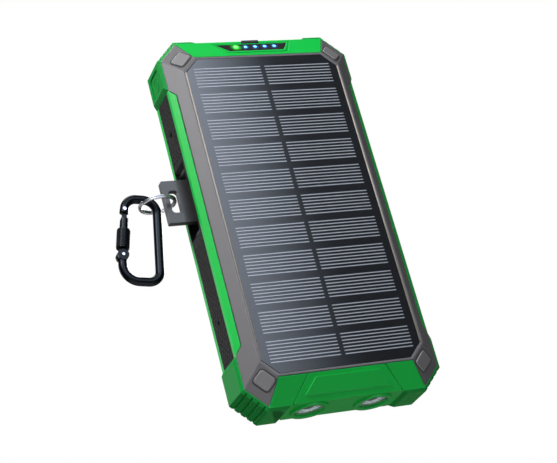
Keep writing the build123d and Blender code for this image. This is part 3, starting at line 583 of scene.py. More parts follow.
def repeatOn(name, places, kind, shape, material):
    # places holds (position, turn, stretch) for each copy
    piece = makeMesh(name, [p[0] for p in places], [], material)
    for key, column in (("turn", 1), ("stretch", 2)):
        values = piece.data.attributes.new(key, "FLOAT_VECTOR", "POINT")
        values.data.foreach_set("vector", [c for p in places for c in p[column]])
    runTree(piece, repeatTree(name, kind, shape), {"Material": material})
    for key in ("turn", "stretch"):
        if key in piece.data.attributes:
            piece.data.attributes.remove(piece.data.attributes[key])
    return piece


def anglesRound(count):
    return [2 * math.pi * k / count for k in range(count)]


def circle(radius, count):
    return [(radius * math.cos(a), radius * math.sin(a)) for a in anglesRound(count)]


def roundedOutline(width, height, corner, steps=5):
    # a rectangle with round corners, anticlockwise
    corner = max(min(corner, width / 2, height / 2), 1e-6)
    points = []
    for sx, sy, start in ((1, 1, 0), (-1, 1, 90), (-1, -1, 180), (1, -1, 270)):
        for k in range(steps + 1):
            a = math.radians(start + 90 * k / steps)
            points.append((sx * (width / 2 - corner) + corner * math.cos(a),
                           sy * (height / 2 - corner) + corner * math.sin(a)))
    return points


def wallFaces(levels, n, closed=False):
    # quads between rings of n points, one ring after the other
    return [[j * n + i, j * n + (i + 1) % n, (j + 1) % levels * n + (i + 1) % n, (j + 1) % levels * n + i]
            for j in range(levels if closed else levels - 1) for i in range(n)]


def stack(layers):
    # a closed skin over outlines of equal length, from the lowest to the highest
    points = [p for layer in layers for p in layer]
    n = len(layers[0])
    last = (len(layers) - 1) * n
    return points, [list(range(n))[::-1]] + wallFaces(len(layers), n) + [[last + i for i in range(n)]]


def cushionSlab(width, height, depth, corner, edge, place, steps=4):
    # a slab with round corners and a soft upper edge, its base at the place, standing along its +Z
    layers = []
    for level, inset in [(0, 0)] + [(depth - edge + edge * math.sin(a), edge * (1 - math.cos(a)))
                                    for a in (math.pi / 2 * k / steps for k in range(steps + 1))]:
        outline = roundedOutline(width - 2 * inset, height - 2 * inset, corner - inset)
        layers.append([place @ Vector((x, y, level)) for x, y in outline])
    return stack(layers)


def tube(path, radius, sides=10, closed=False):
    # a round rod along points
    n = len(path)
    rings = []
    side = None
    for i, p in enumerate(path):
        before = path[i - 1] if (i or closed) else p
        after = path[(i + 1) % n] if (i < n - 1 or closed) else p
        ahead = (after - before).normalized()
        if side is None:
            side = ahead.orthogonal().normalized()
        side = (side - ahead * side.dot(ahead)).normalized()
        other = ahead.cross(side)
        rings.append([p + (side * math.cos(a) + other * math.sin(a)) * radius for a in anglesRound(sides)])
    faces = wallFaces(n, sides, closed)
    if not closed:
        faces.append(list(range(sides))[::-1])
        faces.append([(n - 1) * sides + k for k in range(sides)])
    return [q for ring in rings for q in ring], faces


def facing(out, up, place):
    # a frame whose +Z looks along out and whose +Y is near up
    z = Vector(out).normalized()
    x = Vector(up).cross(z).normalized()
    y = z.cross(x)
    turn = Matrix((x, y, z)).transposed().to_4x4()
    return Matrix.Translation(Vector(place)) @ turn


def rearward(x, y, z):
    # a frame that looks out of the wireless face, the right way up
    return facing((0, 1, 0), (0, 0, 1), (x, y, z))


def lifted(place, height):
    return place @ Matrix.Translation((0, 0, height * mm))


def flatShape(outline, place, height):
    # a thin printed shape: an outline on the place's plane, standing up by its height
    return stack([[place @ Vector((x, y, level)) for x, y in outline] for level in (0, height)])


panel = {
    "rows": 11, "rowPitch": 12.3, "lines": 7, "linePitch": 1.42,
    "lineLength": 29.8, "lineWidth": 0.42, "middleGap": 1.0, "stand": 0.05,
}


def collectorTree():
    # rows of thin lines in two columns, each row's lines evenly spaced
    tree = newTree("collectorLines")
    for name, kind in (("Rows", "Int"), ("Lines", "Int"), ("RowPitch", "Float"), ("LinePitch", "Float"),
                       ("Length", "Float"), ("Width", "Float"), ("Gap", "Float"), ("Stand", "Float"),
                       ("Centre", "Vector"), ("Material", "Material")):
        tree.interface.new_socket(name, in_out="INPUT", socket_type="NodeSocket" + kind)
    source = addNode(tree, "NodeGroupInput").outputs
    size = addNode(tree, "ShaderNodeCombineXYZ",
                   {"X": source["Length"], "Y": source["Stand"], "Z": source["Width"]})
    line = addNode(tree, "GeometryNodeMeshCube", {"Size": size})

    def spread(shape, count, step, axis):
        # copies of a shape, centred on the origin along one axis
        along = addNode(tree, "ShaderNodeCombineXYZ", {axis: step})
        less = addNode(tree, "ShaderNodeMath", {0: count, 1: -1.0}, operation="ADD")
        reach = addNode(tree, "ShaderNodeMath", {0: less, 1: step}, operation="MULTIPLY")
        half = addNode(tree, "ShaderNodeMath", {0: reach, 1: -0.5}, operation="MULTIPLY")
        start = addNode(tree, "ShaderNodeCombineXYZ", {axis: half})
        row = addNode(tree, "GeometryNodeMeshLine",
                      {"Count": count, "Start Location": start, "Offset": along})
        return addNode(tree, "GeometryNodeInstanceOnPoints", {"Points": row, "Instance": shape})

    oneRow = spread(line, source["Lines"], source["LinePitch"], "Z")
    column = spread(oneRow, source["Rows"], source["RowPitch"], "Z")
    apart = addNode(tree, "ShaderNodeMath", {0: source["Length"], 1: source["Gap"]}, operation="ADD")
    two = addNode(tree, "FunctionNodeInputInt", integer=2)
    real = addNode(tree, "GeometryNodeRealizeInstances", {0: spread(column, two, apart, "X")})
    placed = addNode(tree, "GeometryNodeTransform", {0: real, "Translation": source["Centre"]})
    coloured = addNode(tree, "GeometryNodeSetMaterial", {0: placed, "Material": source["Material"]})
    addNode(tree, "NodeGroupOutput", {0: coloured})
    return tree


def addCollectorLines():
    piece = makeMesh("collector_lines", [(0, 0, 0)], [], silverPaste)
    runTree(piece, collectorTree(), {
        "Rows": panel["rows"], "Lines": panel["lines"], "RowPitch": panel["rowPitch"] * mm,
        "LinePitch": panel["linePitch"] * mm, "Length": panel["lineLength"] * mm,
        "Width": panel["lineWidth"] * mm, "Gap": 2 * panel["middleGap"] * mm, "Stand": panel["stand"] * mm,
        "Centre": (0, -faceY - panel["stand"] * mm / 2, midZ), "Material": silverPaste})
    ride(piece, "root", slots["solar_cells"])


seal = {"width": 0.6, "outside": 0.35, "endCut": 6.0, "sides": 8}


def addSealBead():
    # the bead that closes the gap between the panel and its shell, down both long sides
    x = panelHigh.x + seal["outside"] * mm
    reach = (panelHigh.z - panelLow.z) / 2 - seal["endCut"] * mm
    shapes = []
    for side in (-1, 1):
        path = [Vector((side * x, -faceY, midZ + reach * t)) for t in (-1, 1)]
        shapes.append(tube(path, seal["width"] * mm / 2, seal["sides"]))
    ride(joined("panel_seal", shapes, sealBead, smooth=True), "root", slots["front_shell"])


addCollectorLines()
addSealBead()
print("solar panel ready")


grip = {
    "pitch": 2.8, "stand": 0.5, "margin": 0.4, "sink": 0.05, "topShare": 0.12, "footShare": 0.46,
    "holes": {-1: (-42.0, 43.0), 1: (-42.0, 0.0, 43.0)}, "holeRadius": 2.0,
    "plug": (2.16, 0.7, 0.2), "plugSink": 1.5,     # width, depth and edge of the plug in a hole
    "lugMiddle": 12.5, "lugHalf": 19.0, "lugTaper": 0.1,
}


def gripPlaces(side):
    # diamonds in staggered rows, clear of the holes and of the lug's recess
    step = grip["pitch"] * mm
    halfY = gripHigh.y - grip["margin"] * mm - step / 2
    lowZ = gripLow.z + grip["margin"] * mm + step / 2
    highZ = gripHigh.z - grip["margin"] * mm - step / 2
    places = []
    for r in range(int((highZ - lowZ) / (step / 2)) + 1):
        z = lowZ + r * step / 2
        count = int(2 * halfY / step)
        for c in range(count + 1 - r % 2):
            y = (c - (count - r % 2) / 2) * step
            fromMiddle = (z - midZ) / mm
            lugReach = grip["lugHalf"] - abs(y) / mm * grip["lugTaper"]
            if side < 0 and abs(fromMiddle - grip["lugMiddle"]) < lugReach:
                continue
            if any(math.hypot(fromMiddle - h, y / mm) < grip["holeRadius"] for h in grip["holes"][side]):
                continue
            x = side * (sideX - grip["sink"] * mm)
            places.append(((x, y, z), (0, side * math.pi / 2, 0), (1, 1, 1)))
    return places


def addGripHoles():
    # black plugs at the bottom of the round holes in the rubber
    wide, deep, edge = (size * mm for size in grip["plug"])
    plugs = []
    for side in (-1, 1):
        for z in grip["holes"][side]:
            place = (side * (sideX - grip["plugSink"] * mm), 0, midZ + z * mm)
            seat = facing((side, 0, 0), (0, 0, 1), place)
            plugs.append(cushionSlab(wide, wide, deep, wide / 2, edge, seat))
    ride(joined("grip_hole_plugs", plugs, coverRubber), "root", slots["grip_left"])


def addGripDiamonds():
    # four-sided studs that the rubber is moulded with
    size = grip["pitch"] * mm
    stud = {"Vertices": 4, "Radius Top": size * grip["topShare"], "Radius Bottom": size * grip["footShare"],
            "Depth": grip["stand"] * mm}
    for side, name in ((-1, "left"), (1, "right")):
        # the studs' lighter colour is a painted highlight on the raised diamonds
        piece = repeatOn(f"grip_studs_{name}", gripPlaces(side), "GeometryNodeMeshCone", stud, gripStudHighlight)
        ride(piece, "root", slots[f"grip_{name}"])


addGripHoles()
addGripDiamonds()
print("grips ready")


strip = {
    "cell": 1.55, "cellTop": 0.36, "cellFoot": 0.50, "cellStand": 0.16, "low": -45.0, "high": 45.0,
    "outer": ((35.0, 12.62), (39.0, 10.32)),    # two edges of the pale band: distance from the middle, depth
    "inner": ((30.4, 12.66), (34.3, 12.14)),    # two edges of the dark band
    "teeth": 0.45, "lift": 0.08, "ends": 1.4, "inset": 0.1,
    "taperFrom": 35.6, "taper": 0.4,            # columns beyond this distance grow longer
    "gap": (-0.2, 33.0),    # heights where the last plug's pocket breaks the dark band on the right
}


def bandPlaces(side, edges, cut):
    # hexagon centres on a sloping band, in staggered columns
    (x0, y0), (x1, y1) = edges
    along = math.hypot(x1 - x0, y1 - y0)
    pitch = strip["cell"]
    columnPitch = pitch * 0.866
    slope = math.atan2(y0 - y1, x1 - x0)
    places = []
    for c in range(max(1, int((along - strip["inset"]) / columnPitch))):
        t = (strip["inset"] + pitch / 2 + c * columnPitch) / along
        x, y = x0 + (x1 - x0) * t, y0 + (y1 - y0) * t
        longer = max(0.0, (x - strip["taperFrom"])) * strip["taper"]
        low = strip["low"] - longer
        for k in range(int((strip["high"] + longer - low) / pitch)):
            z = low + (k + 0.5 + 0.5 * (c % 2)) * pitch
            if cut and cut[0] - pitch * 0.6 < z < cut[1] + pitch * 0.6:
                continue
            places.append(((side * x * mm, (y + strip["lift"]) * mm, midZ + z * mm),
                           (-math.pi / 2, 0, side * -slope), (1, 1, 1)))
    return places


def bandRuns(band, cut):
    # the inner edge of a band as lines of (distance, height): toothed on the pale band, cut on the dark one
    x0 = strip[band][0][0]
    low, high = strip["low"] - strip["ends"], strip["high"] + strip["ends"]
    if band == "outer":
        steps = int((strip["high"] - strip["low"]) / strip["cell"])
        return [[(x0 - strip["teeth"] * (k % 2), strip["low"] + k * strip["cell"] / 2)
                 for k in range(steps * 2 + 1)]]
    if cut:
        return [[(x0, low), (x0, cut[0])], [(x0, cut[1]), (x0, high)]]
    return [[(x0, low), (x0, high)]]


def bandSection(side, band, x, z):
    # the band's cross-section at one height, from the distance x to its outer edge
    (x0, y0), (x1, y1) = strip[band]
    edges = ((x, 0.0), (x1, 0.0), (x1, strip["lift"]), (x, strip["lift"]))
    return [Vector((side * px * mm, (y0 + (y1 - y0) * (px - x0) / (x1 - x0) + lift) * mm, midZ + z * mm))
            for px, lift in edges]


def addTrimStrips():
    bands = (("outer", trimPale, trimPaleCell), ("inner", trimDark, trimDarkCell))
    cell = {"Vertices": 6, "Radius Top": strip["cell"] * strip["cellTop"] * mm,
            "Radius Bottom": strip["cell"] * strip["cellFoot"] * mm, "Depth": strip["cellStand"] * mm}
    for side, name in ((-1, "left"), (1, "right")):
        for band, paint, cellPaint in bands:
            cut = strip["gap"] if band == "inner" and side > 0 else None
            shapes = [stack([bandSection(side, band, x, z) for x, z in run]) for run in bandRuns(band, cut)]
            ride(joined(f"trim_{band}_{name}", shapes, paint), "root", slots["rear_shell"])
            cells = repeatOn(f"trim_cells_{band}_{name}", bandPlaces(side, strip[band], cut),
                             "GeometryNodeMeshCone", cell, cellPaint)
            ride(cells, "root", slots["rear_shell"])


addTrimStrips()
print("trim strips ready")


ringLow, ringHigh = corners("charging_ring")
pad = {
    "ringRadius": (ringHigh.x - ringLow.x) / 2, "haloReach": 6.8, "haloLift": 0.16,
    "lightLines": ((0.15, 0.28), (-2.85, 0.2)),   # offset from the rim, lift
    "lightRadius": 0.22, "lightSteps": 96,
    "printRows": ((17.6, 250), (14.9, 262)),   # radius, degrees where the circle of dashes is broken
    "printFrom": 34, "printTo": 350, "printWidth": 1.0, "ink": 0.04,
    "dashSpans": (1.6, 2.4, 3.2, 4.4), "dashGaps": (0.9, 0.9, 1.2, 4.0),
    "arcRadii": (4.6, 5.9), "arcSpan": 38, "arcLean": 14, "arcWidth": 0.55,
    "bolt": ((0.9, 3.6), (-1.9, -0.4), (-0.2, -0.4), (-0.9, -3.6), (1.9, 0.5), (0.3, 0.5)),
}
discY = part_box("charging_disc")[1][1]
padPlace = rearward((ringLow.x + ringHigh.x) / 2, discY, (ringLow.z + ringHigh.z) / 2)


def fadedRing(name, place, inner, outer, material, steps=6, sides=64):
    # a flat ring whose fade attribute falls from one at its inner edge to nothing at its outer edge
    points, fade = [], []
    for j in range(steps + 1):
        t = j / steps
        points += [place @ Vector((x, y, 0)) for x, y in circle(inner + (outer - inner) * t, sides)]
        fade += [1 - t] * sides
    faces, first, rows = [], 0, steps
    if inner < 1e-6:   # the innermost ring is a single point
        points, fade = points[sides - 1:], fade[sides - 1:]
        faces = [[0, 1 + k, 1 + (k + 1) % sides] for k in range(sides)]
        first, rows = 1, steps - 1
    for j in range(rows):
        a, b = first + j * sides, first + (j + 1) * sides
        faces += [[a + k, b + k, b + (k + 1) % sides, a + (k + 1) % sides] for k in range(sides)]
    piece = makeMesh(name, points, faces, material, smooth=True)
    values = piece.data.attributes.new("fade", "FLOAT", "POINT")
    values.data.foreach_set("value", fade)
    return piece


def arcBand(radius, width, start, span, steps=16):
    # a bent strip as an outline, its angles in degrees
    angles = [math.radians(start + span * k / steps) for k in range(steps + 1)]
    outer, inner = ([(r * math.cos(a), r * math.sin(a)) for a in angles]
                    for r in (radius + width / 2, radius - width / 2))
    return outer + inner[::-1]


def inkShape(outline, place, height):
    # a printed strip made of quads between its outer and inner edge
    n = len(outline) // 2
    outer, inner = outline[:n], outline[n:][::-1]
    points = []
    for level in (0, height):
        points += [place @ Vector((x * mm, y * mm, level)) for x, y in outer + inner]
    faces = []
    for k in range(n - 1):
        a, b, c, d = k, k + 1, n + k + 1, n + k
        faces += [[a, d, c, b], [a + 2 * n, b + 2 * n, c + 2 * n, d + 2 * n], [a, b, b + 2 * n, a + 2 * n],
                  [d, d + 2 * n, c + 2 * n, c]]
    faces += [[0, 2 * n, 3 * n, n], [n - 1, 2 * n - 1, 4 * n - 1, 3 * n - 1]]
    return points, faces


def addPadLight():
    # a soft glow round the pad, and two light lines along the chrome ring's edges
    r = pad["ringRadius"]
    glow = fadedRing("pad_halo", lifted(padPlace, pad["haloLift"]), r, r + pad["haloReach"] * mm, padHalo)
    ride(glow, "root", slots["status_led"])
    lines = []
    for offset, lift in pad["lightLines"]:
        path = [padPlace @ Vector((x, y, lift * mm)) for x, y in circle(r + offset * mm, pad["lightSteps"])]
        lines.append(tube(path, pad["lightRadius"] * mm, 6, closed=True))
    ride(joined("pad_light_lines", lines, ringLight, smooth=True), "root", slots["status_led"])


def addPadPrint():
    # plain dashes in two circles, and a bolt between two pairs of arcs
    height = pad["ink"] * mm
    random.seed(11)
    ink = []
    for radius, breakAt in pad["printRows"]:
        angle = breakAt + pad["printFrom"]
        while angle < breakAt + pad["printTo"]:
            span = random.choice(pad["dashSpans"])
            ink.append(inkShape(arcBand(radius, pad["printWidth"], angle, span, 2), padPlace, height))
            angle += span + random.choice(pad["dashGaps"])
    ride(joined("pad_print", ink, paleInk), "root", slots["charging_disc"])
    span = pad["arcSpan"]
    turned = span / 2 + pad["arcLean"]
    arcs = [inkShape(arcBand(radius, pad["arcWidth"], start - turned, span), padPlace, height)
            for radius in pad["arcRadii"] for start in (90, 270)]
    ride(joined("pad_arcs", arcs, darkInk), "root", slots["charging_disc"])
    points = [padPlace @ Vector((x * mm, y * mm, level)) for level in (0, height) for x, y in pad["bolt"]]
    top = [[6, 7, 8, 11], [8, 9, 10, 11]]
    low = [[0, 5, 2, 1], [2, 5, 4, 3]]
    ride(makeMesh("pad_bolt", points, top + low + wallFaces(2, 6), boltInk), "root", slots["charging_disc"])


addPadLight()
addPadPrint()
print("charging pad ready")


# The sloping facets of the case: half depth at their outer edge, their run at the port end and at the
# corners, and the case's half width, half height and corner cut
facet = {"edgeY": 8.5, "portRun": 10.4, "cornerRun": 10.5, "halfX": 42.0, "halfZ": 81.8, "cornerCut": 8.4}
diode = {
    "statusHalo": 2.9, "statusLift": 0.06, "arcRadii": (2.6, 3.5, 4.4), "arcWidth": 0.28, "arcSpan": 64,
    "ink": 0.04, "count": 5, "inset": 0.75, "levels": 5, "sides": 16, "domeLift": 0.05, "domeHeight": 0.45,
    "haloLift": 0.16,
    "green": {"radius": 1.05, "halo": 3.0}, "blue": {"radius": 0.72, "halo": 1.9},
}


def diodeDome(seat, radius):
    # a low dome with a blunt tip
    layers = []
    for j in range(diode["levels"] + 1):
        a = math.pi / 2 * j / diode["levels"]
        level = diode["domeLift"] * mm + radius * diode["domeHeight"] * math.sin(a)
        layers.append([seat @ Vector((x, y, level))
                       for x, y in circle(max(radius * math.cos(a), 0.01 * mm), diode["sides"])])
    return stack(layers)


def addStatusDiode():
    # its glow, and three pairs of printed arcs round it
    low, high = corners("status_led")
    place = rearward((low.x + high.x) / 2, faceY, (low.z + high.z) / 2)
    glow = fadedRing("status_halo", lifted(place, diode["statusLift"]), 0.0, diode["statusHalo"] * mm,
                     haloGreen, 5, 32)
    ride(glow, "root", slots["status_led"])
    span = diode["arcSpan"]
    height = diode["ink"] * mm
    arcs = [inkShape(arcBand(radius, diode["arcWidth"], start - span / 2, span, 8), place, height)
            for radius in diode["arcRadii"] for start in (0, 180)]
    ride(joined("status_arcs", arcs, darkInk), "root", slots["rear_shell"])


def addIndicators():
    # the diodes behind the window: the first lit green, the rest blue
    low, high = corners("indicator_leds")
    slope = math.atan2(faceY - facet["edgeY"] * mm, facet["portRun"] * mm)
    normal = Vector((0, -math.cos(slope), math.sin(slope)))
    inset = diode["inset"] * mm
    step = (high.x - low.x - 2 * inset) / (diode["count"] - 1)
    blues, greens = [], []
    for k in range(diode["count"]):
        look, paint, domes = (diode["blue"], haloBlue, blues) if k else (diode["green"], haloGreen, greens)
        centre = (low.x + inset + step * k, (low.y + high.y) / 2, (low.z + high.z) / 2)
        seat = facing(normal, (0, 0, 1), centre)
        domes.append(diodeDome(seat, look["radius"] * mm))
        halo = fadedRing(f"diode_halo_{k + 1}", lifted(seat, diode["haloLift"]), 0.0, look["halo"] * mm,
                         paint, 5, 24)
        ride(halo, "root", slots["indicator_leds"])
    ride(joined("diode_blue_domes", blues, diodeBlue, smooth=True), "root", slots["indicator_leds"],
         "indicator_leds")
    ride(joined("diode_green_dome", greens, diodeGreen, smooth=True), "root", slots["indicator_leds"])


addStatusDiode()
addIndicators()
print("diodes ready")


edging = {
    "silver": ((35.0, -50.6), (30.0, -45.0), (29.6, 44.6), (35.0, 50.2)),   # distance from the middle, height
    "gap": (-0.8, 36.2),    # heights where the last plug's pocket breaks the silver line on the right
    "width": 1.3, "stand": 0.22, "sink": 0.02, "bend": 2.0, "crown": 0.22,
    "mintHalf": 26.7, "mintLow": -71.0, "mintHigh": -68.4, "mintSlant": 0.8, "mintStand": 0.12,
}


def ribbon(line, width, stand, place):
    # a flat ribbon with a crowned top along points on the place's plane
    n = len(line)
    points = []
    for i, p in enumerate(line):
        ahead = (Vector(line[min(i + 1, n - 1)]) - Vector(line[max(i - 1, 0)])).normalized()
        side = Vector((-ahead.y, ahead.x)) * width / 2
        left, right = Vector(p) + side, Vector(p) - side
        for t, level in ((0, 0), (edging["crown"], stand), (1 - edging["crown"], stand), (1, 0)):
            q = left.lerp(right, t)
            points.append(place @ Vector((q.x, q.y, level)))
    faces = []
    for i in range(n - 1):
        a, b = 4 * i, 4 * (i + 1)
        faces += [[a + k, b + k, b + (k + 1) % 4, a + (k + 1) % 4] for k in range(4)]
    faces += [[3, 2, 1, 0], [4 * (n - 1) + k for k in range(4)]]
    return points, faces


def silverRuns(side):
    # one side's silver line, its two corners as short curves, cut where the pocket breaks it
    line = [Vector((side * x * mm, z * mm)) for x, z in edging["silver"]]
    soft = [line[0]]
    for i in (1, 2):
        before, after = (line[i].lerp(line[j], edging["bend"] * mm / (line[i] - line[j]).length)
                         for j in (i - 1, i + 1))
        soft += [before.lerp(line[i], t).lerp(line[i].lerp(after, t), t) for t in (0, 0.25, 0.5, 0.75, 1)]
    soft.append(line[3])
    soft = [(-x, z) for x, z in soft]   # the rearward frame's X runs the other way
    if side < 0:
        return [soft]
    low, high = (z * mm for z in edging["gap"])
    under, over = [p for p in soft if p[1] < low], [p for p in soft if p[1] > high]
    (xa, za), (xb, zb) = under[-1], over[0]
    cuts = [(xa + (xb - xa) * (z - za) / (zb - za), z) for z in (low, high)]
    return [under + [cuts[0]], [cuts[1]] + over]


def addEdging():
    place = rearward(0, faceY - edging["sink"] * mm, midZ)
    shapes = [ribbon(run, edging["width"] * mm, edging["stand"] * mm, place)
              for side in (-1, 1) for run in silverRuns(side)]
    ride(joined("silver_edging", shapes, silverEdge), "root", slots["rear_corner_pads"])
    half, slant = edging["mintHalf"] * mm, edging["mintSlant"] * mm
    low, high = edging["mintLow"] * mm, edging["mintHigh"] * mm
    outline = [(-half, low), (half, low), (half - slant, high), (-half + slant, high)]
    mint = flatShape(outline, place, edging["mintStand"] * mm)
    ride(joined("mint_insert", [mint], mintInsert), "root", slots["mid_frame"])


addEdging()
print("edging ready")


insert = {"width": 7.2, "height": 6.2, "corner": 1.3, "edge": 0.5, "depth": 0.95, "x": 34.4, "z": 71.9,
          "sink": 0.45, "gap": 0.55, "rimShadowDepth": 0.5, "rimShadowEdge": 0.05}


def addCornerPads():
    # soft-edged inserts on the four corner facets of the solar side, each ringed by a black slab that is painted
    # shadow of its recess
    rise = (faceY - facet["edgeY"] * mm) / (facet["cornerRun"] * mm)
    tilt = math.atan(rise)
    gap = insert["gap"]
    shapes, rimShadows = [], []
    for sx in (-1, 1):
        for sz in (-1, 1):
            x, z = sx * insert["x"] * mm, sz * insert["z"] * mm
            along = (facet["halfX"] + facet["halfZ"] - facet["cornerCut"]) * mm - abs(x) - abs(z)
            y = -(facet["edgeY"] * mm + rise * along / math.sqrt(2))
            out = Vector((sx, 0, sz)).normalized()
            normal = Vector((out.x * math.sin(tilt), -math.cos(tilt), out.z * math.sin(tilt)))
            seat = facing(normal, out, Vector((x, y, midZ + z)) - normal * insert["sink"] * mm)
            shapes.append(cushionSlab(insert["width"] * mm, insert["height"] * mm, insert["depth"] * mm,
                                      insert["corner"] * mm, insert["edge"] * mm, seat))
            # a black slab a little wider than the pad: painted shadow in the gap round it
            rimShadows.append(cushionSlab((insert["width"] + 2 * gap) * mm, (insert["height"] + 2 * gap) * mm,
                                    insert["rimShadowDepth"] * mm, (insert["corner"] + gap) * mm,
                                    insert["rimShadowEdge"] * mm, seat))
    ride(joined("pads_solar_side", shapes, padGrey), "root", slots["front_corner_pads"],
         "front_corner_pads")
    ride(joined("pad_rim_shadows_solar_side", rimShadows, coverRubber), "root", slots["front_corner_pads"])


addCornerPads()
print("corner pads ready")


cables = {
    "width": 5.0, "thickness": 1.6, "corner": 0.55, "outset": 0.4, "plugSink": 1.2,
    "hingeZ": 66.5, "bendZ": 75.4, "endZ": 19.0, "tuckZ": 80.7, "tuckY": 9.9,
    "bendDepth": 1.1, "bendRise": 0.6, "bendFall": 2.0, "straight": (72.0, 70.0, 68.0),
    "arch": 2.6, "samples": 26,
}


def cableLine(clampX, plugX):
    # middle line from the tucked end, over the bend, down to the plug
    outY = faceY / mm + cables["outset"] - cables["thickness"] / 2
    line = []
    for t in (0, 0.5, 0.85):
        line.append((clampX, cables["tuckY"] + (outY - cables["tuckY"]) * t,
                     cables["tuckZ"] + (cables["bendZ"] - cables["tuckZ"]) * t))
    for k in range(1, 5):
        sunk = cables["bendDepth"] * (1 - math.sin(math.radians(12 * k))) ** 2
        line.append((clampX, outY - sunk, cables["bendZ"] + cables["bendRise"] - cables["bendFall"] * k / 4))
    line += [(clampX, outY, z) for z in cables["straight"]]
    plugY = faceY / mm - cables["plugSink"]
    for k in range(cables["samples"] + 1):
        t = k / cables["samples"]
        ease = 3 * t ** 2 - 2 * t ** 3
        line.append((clampX + (plugX - clampX) * ease,
                     outY + (plugY - outY) * ease + cables["arch"] * math.sin(math.pi * t) ** 2 * t,
                     cables["hingeZ"] + (cables["endZ"] - cables["hingeZ"]) * t))
    return [Vector((x * mm, y * mm, midZ + z * mm)) for x, y, z in line]


def strapSkin(line):
    # a flat strap with round edges along a line, its width always along X
    outline = roundedOutline(cables["width"] * mm, cables["thickness"] * mm, cables["corner"] * mm, 3)
    across = Vector((1, 0, 0))
    layers = []
    for i, p in enumerate(line):
        ahead = line[min(i + 1, len(line) - 1)] - line[max(i - 1, 0)]
        ahead.x = 0
        out = across.cross(ahead.normalized())
        layers.append([p + across * u + out * v for u, v in outline])
    return stack(layers)


def addCables():
    for name in cableNames:
        clampX, plugX = (sum(c.x for c in corners(kind + name)) / 2 / mm for kind in ("anchor_", "plug_"))
        skin = strapSkin(cableLine(clampX, plugX))
        piece = joined("flat_cable_" + name, [skin], cableTpe, smooth=True)
        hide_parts("anchor_" + name, "cable_" + name)
        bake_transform(piece)


plugs = {
    "edge": 0.55, "corner": 1.5, "metalCorner": 0.5,
    "marks": {"usb_a": "1", "micro": "2", "type_c": "3", "slim": "4"}, "markSize": 4.05, "markDepth": 0.05,
    "slimPads": {"count": 8, "pitch": 0.58, "outline": (0.42, 2.3, 0.2), "stand": 0.07, "sink": 0.02,
                 "down": 0.4},
    "latches": {"aside": 1.5, "outline": (0.7, 1.5, 0.15), "stand": 0.05, "sink": 0.03},
}


def addMark(name, seat):
    # a plain number in pad-printed ink
    mark = bpy.data.curves.new("mark_" + name, "FONT")
    mark.body = plugs["marks"][name]
    mark.size = plugs["markSize"] * mm
    mark.extrude = plugs["markDepth"] * mm
    mark.align_x = "CENTER"
    mark.align_y = "CENTER"
    letter = bpy.data.objects.new("text_" + name, mark)
    bpy.context.scene.collection.objects.link(letter)
    bpy.context.view_layer.update()
    mesh = bpy.data.meshes.new_from_object(letter.evaluated_get(bpy.context.evaluated_depsgraph_get()))
    bpy.data.objects.remove(letter)
    mesh.transform(seat)
    mesh.materials.clear()
    mesh.materials.append(markInk)
    piece = bpy.data.objects.new("plug_mark_" + name, mesh)
    bpy.context.scene.collection.objects.link(piece)
    ride(piece, f"cable_{name}_body", slots["plug_" + name])


def addPlugs():
    for name in cableNames:
        low, high = corners("plug_" + name)
        size = high - low
        x, z = (low.x + high.x) / 2, (low.z + high.z) / 2
        corner = plugs["metalCorner" if name == "usb_a" else "corner"] * mm
        shape = cushionSlab(size.x, size.z, size.y, corner, plugs["edge"] * mm, rearward(x, low.y, z))
        ride(joined("plug_body_" + name, [shape], plugAbs), f"cable_{name}_body", slots["plug_" + name],
             "plug_" + name)
        addMark(name, facing((0, 1, 0), (0, 0, -1), (x, high.y, z)))   # reads with the plug held upright


def addTipDetails():
    # the gold pads on the slim tip, and the latch windows in the micro tip
    look = plugs["slimPads"]
    low, high = corners("tip_slim")
    seat = rearward((low.x + high.x) / 2, high.y - look["sink"] * mm,
                    (low.z + high.z) / 2 - look["down"] * mm)
    wide, tall, corner = (size * mm for size in look["outline"])
    pads = []
    for k in range(look["count"]):
        aside = (k - (look["count"] - 1) / 2) * look["pitch"] * mm
        outline = [(x + aside, y) for x, y in roundedOutline(wide, tall, corner, 2)]
        pads.append(flatShape(outline, seat, look["stand"] * mm))
    ride(joined("slim_pads", pads, goldFlash), "cable_slim_body", slots["usb_a_contacts"])
    look = plugs["latches"]
    low, high = corners("tip_micro")
    wide, tall, corner = (size * mm for size in look["outline"])
    windows = []
    for side in (-1, 1):
        seat = rearward((low.x + high.x) / 2 + side * look["aside"] * mm, high.y - look["sink"] * mm,
                        (low.z + high.z) / 2)
        windows.append(flatShape(roundedOutline(wide, tall, corner, 2), seat, look["stand"] * mm))
    ride(joined("micro_latch_windows", windows, darkInk), "cable_micro_body", slots["tip_micro"])


addCables()
addPlugs()
addTipDetails()
print("cables and plugs ready")


hanging = {
    "wireWide": 0.68, "wireHigh": 0.42, "turns": 2.0, "steps": 60, "sides": 12, "startAt": 200,
    "crossing": 7,   # how sharply the wire steps from its lower to its upper turn
    "knurlFoot": 0.372, "knurlTop": 0.05, "knurlStand": 0.16, "knurlStretch": (1, 1.15, 1),
    "knurlLength": 8.0, "knurlAround": 24, "knurlRows": 10,
}


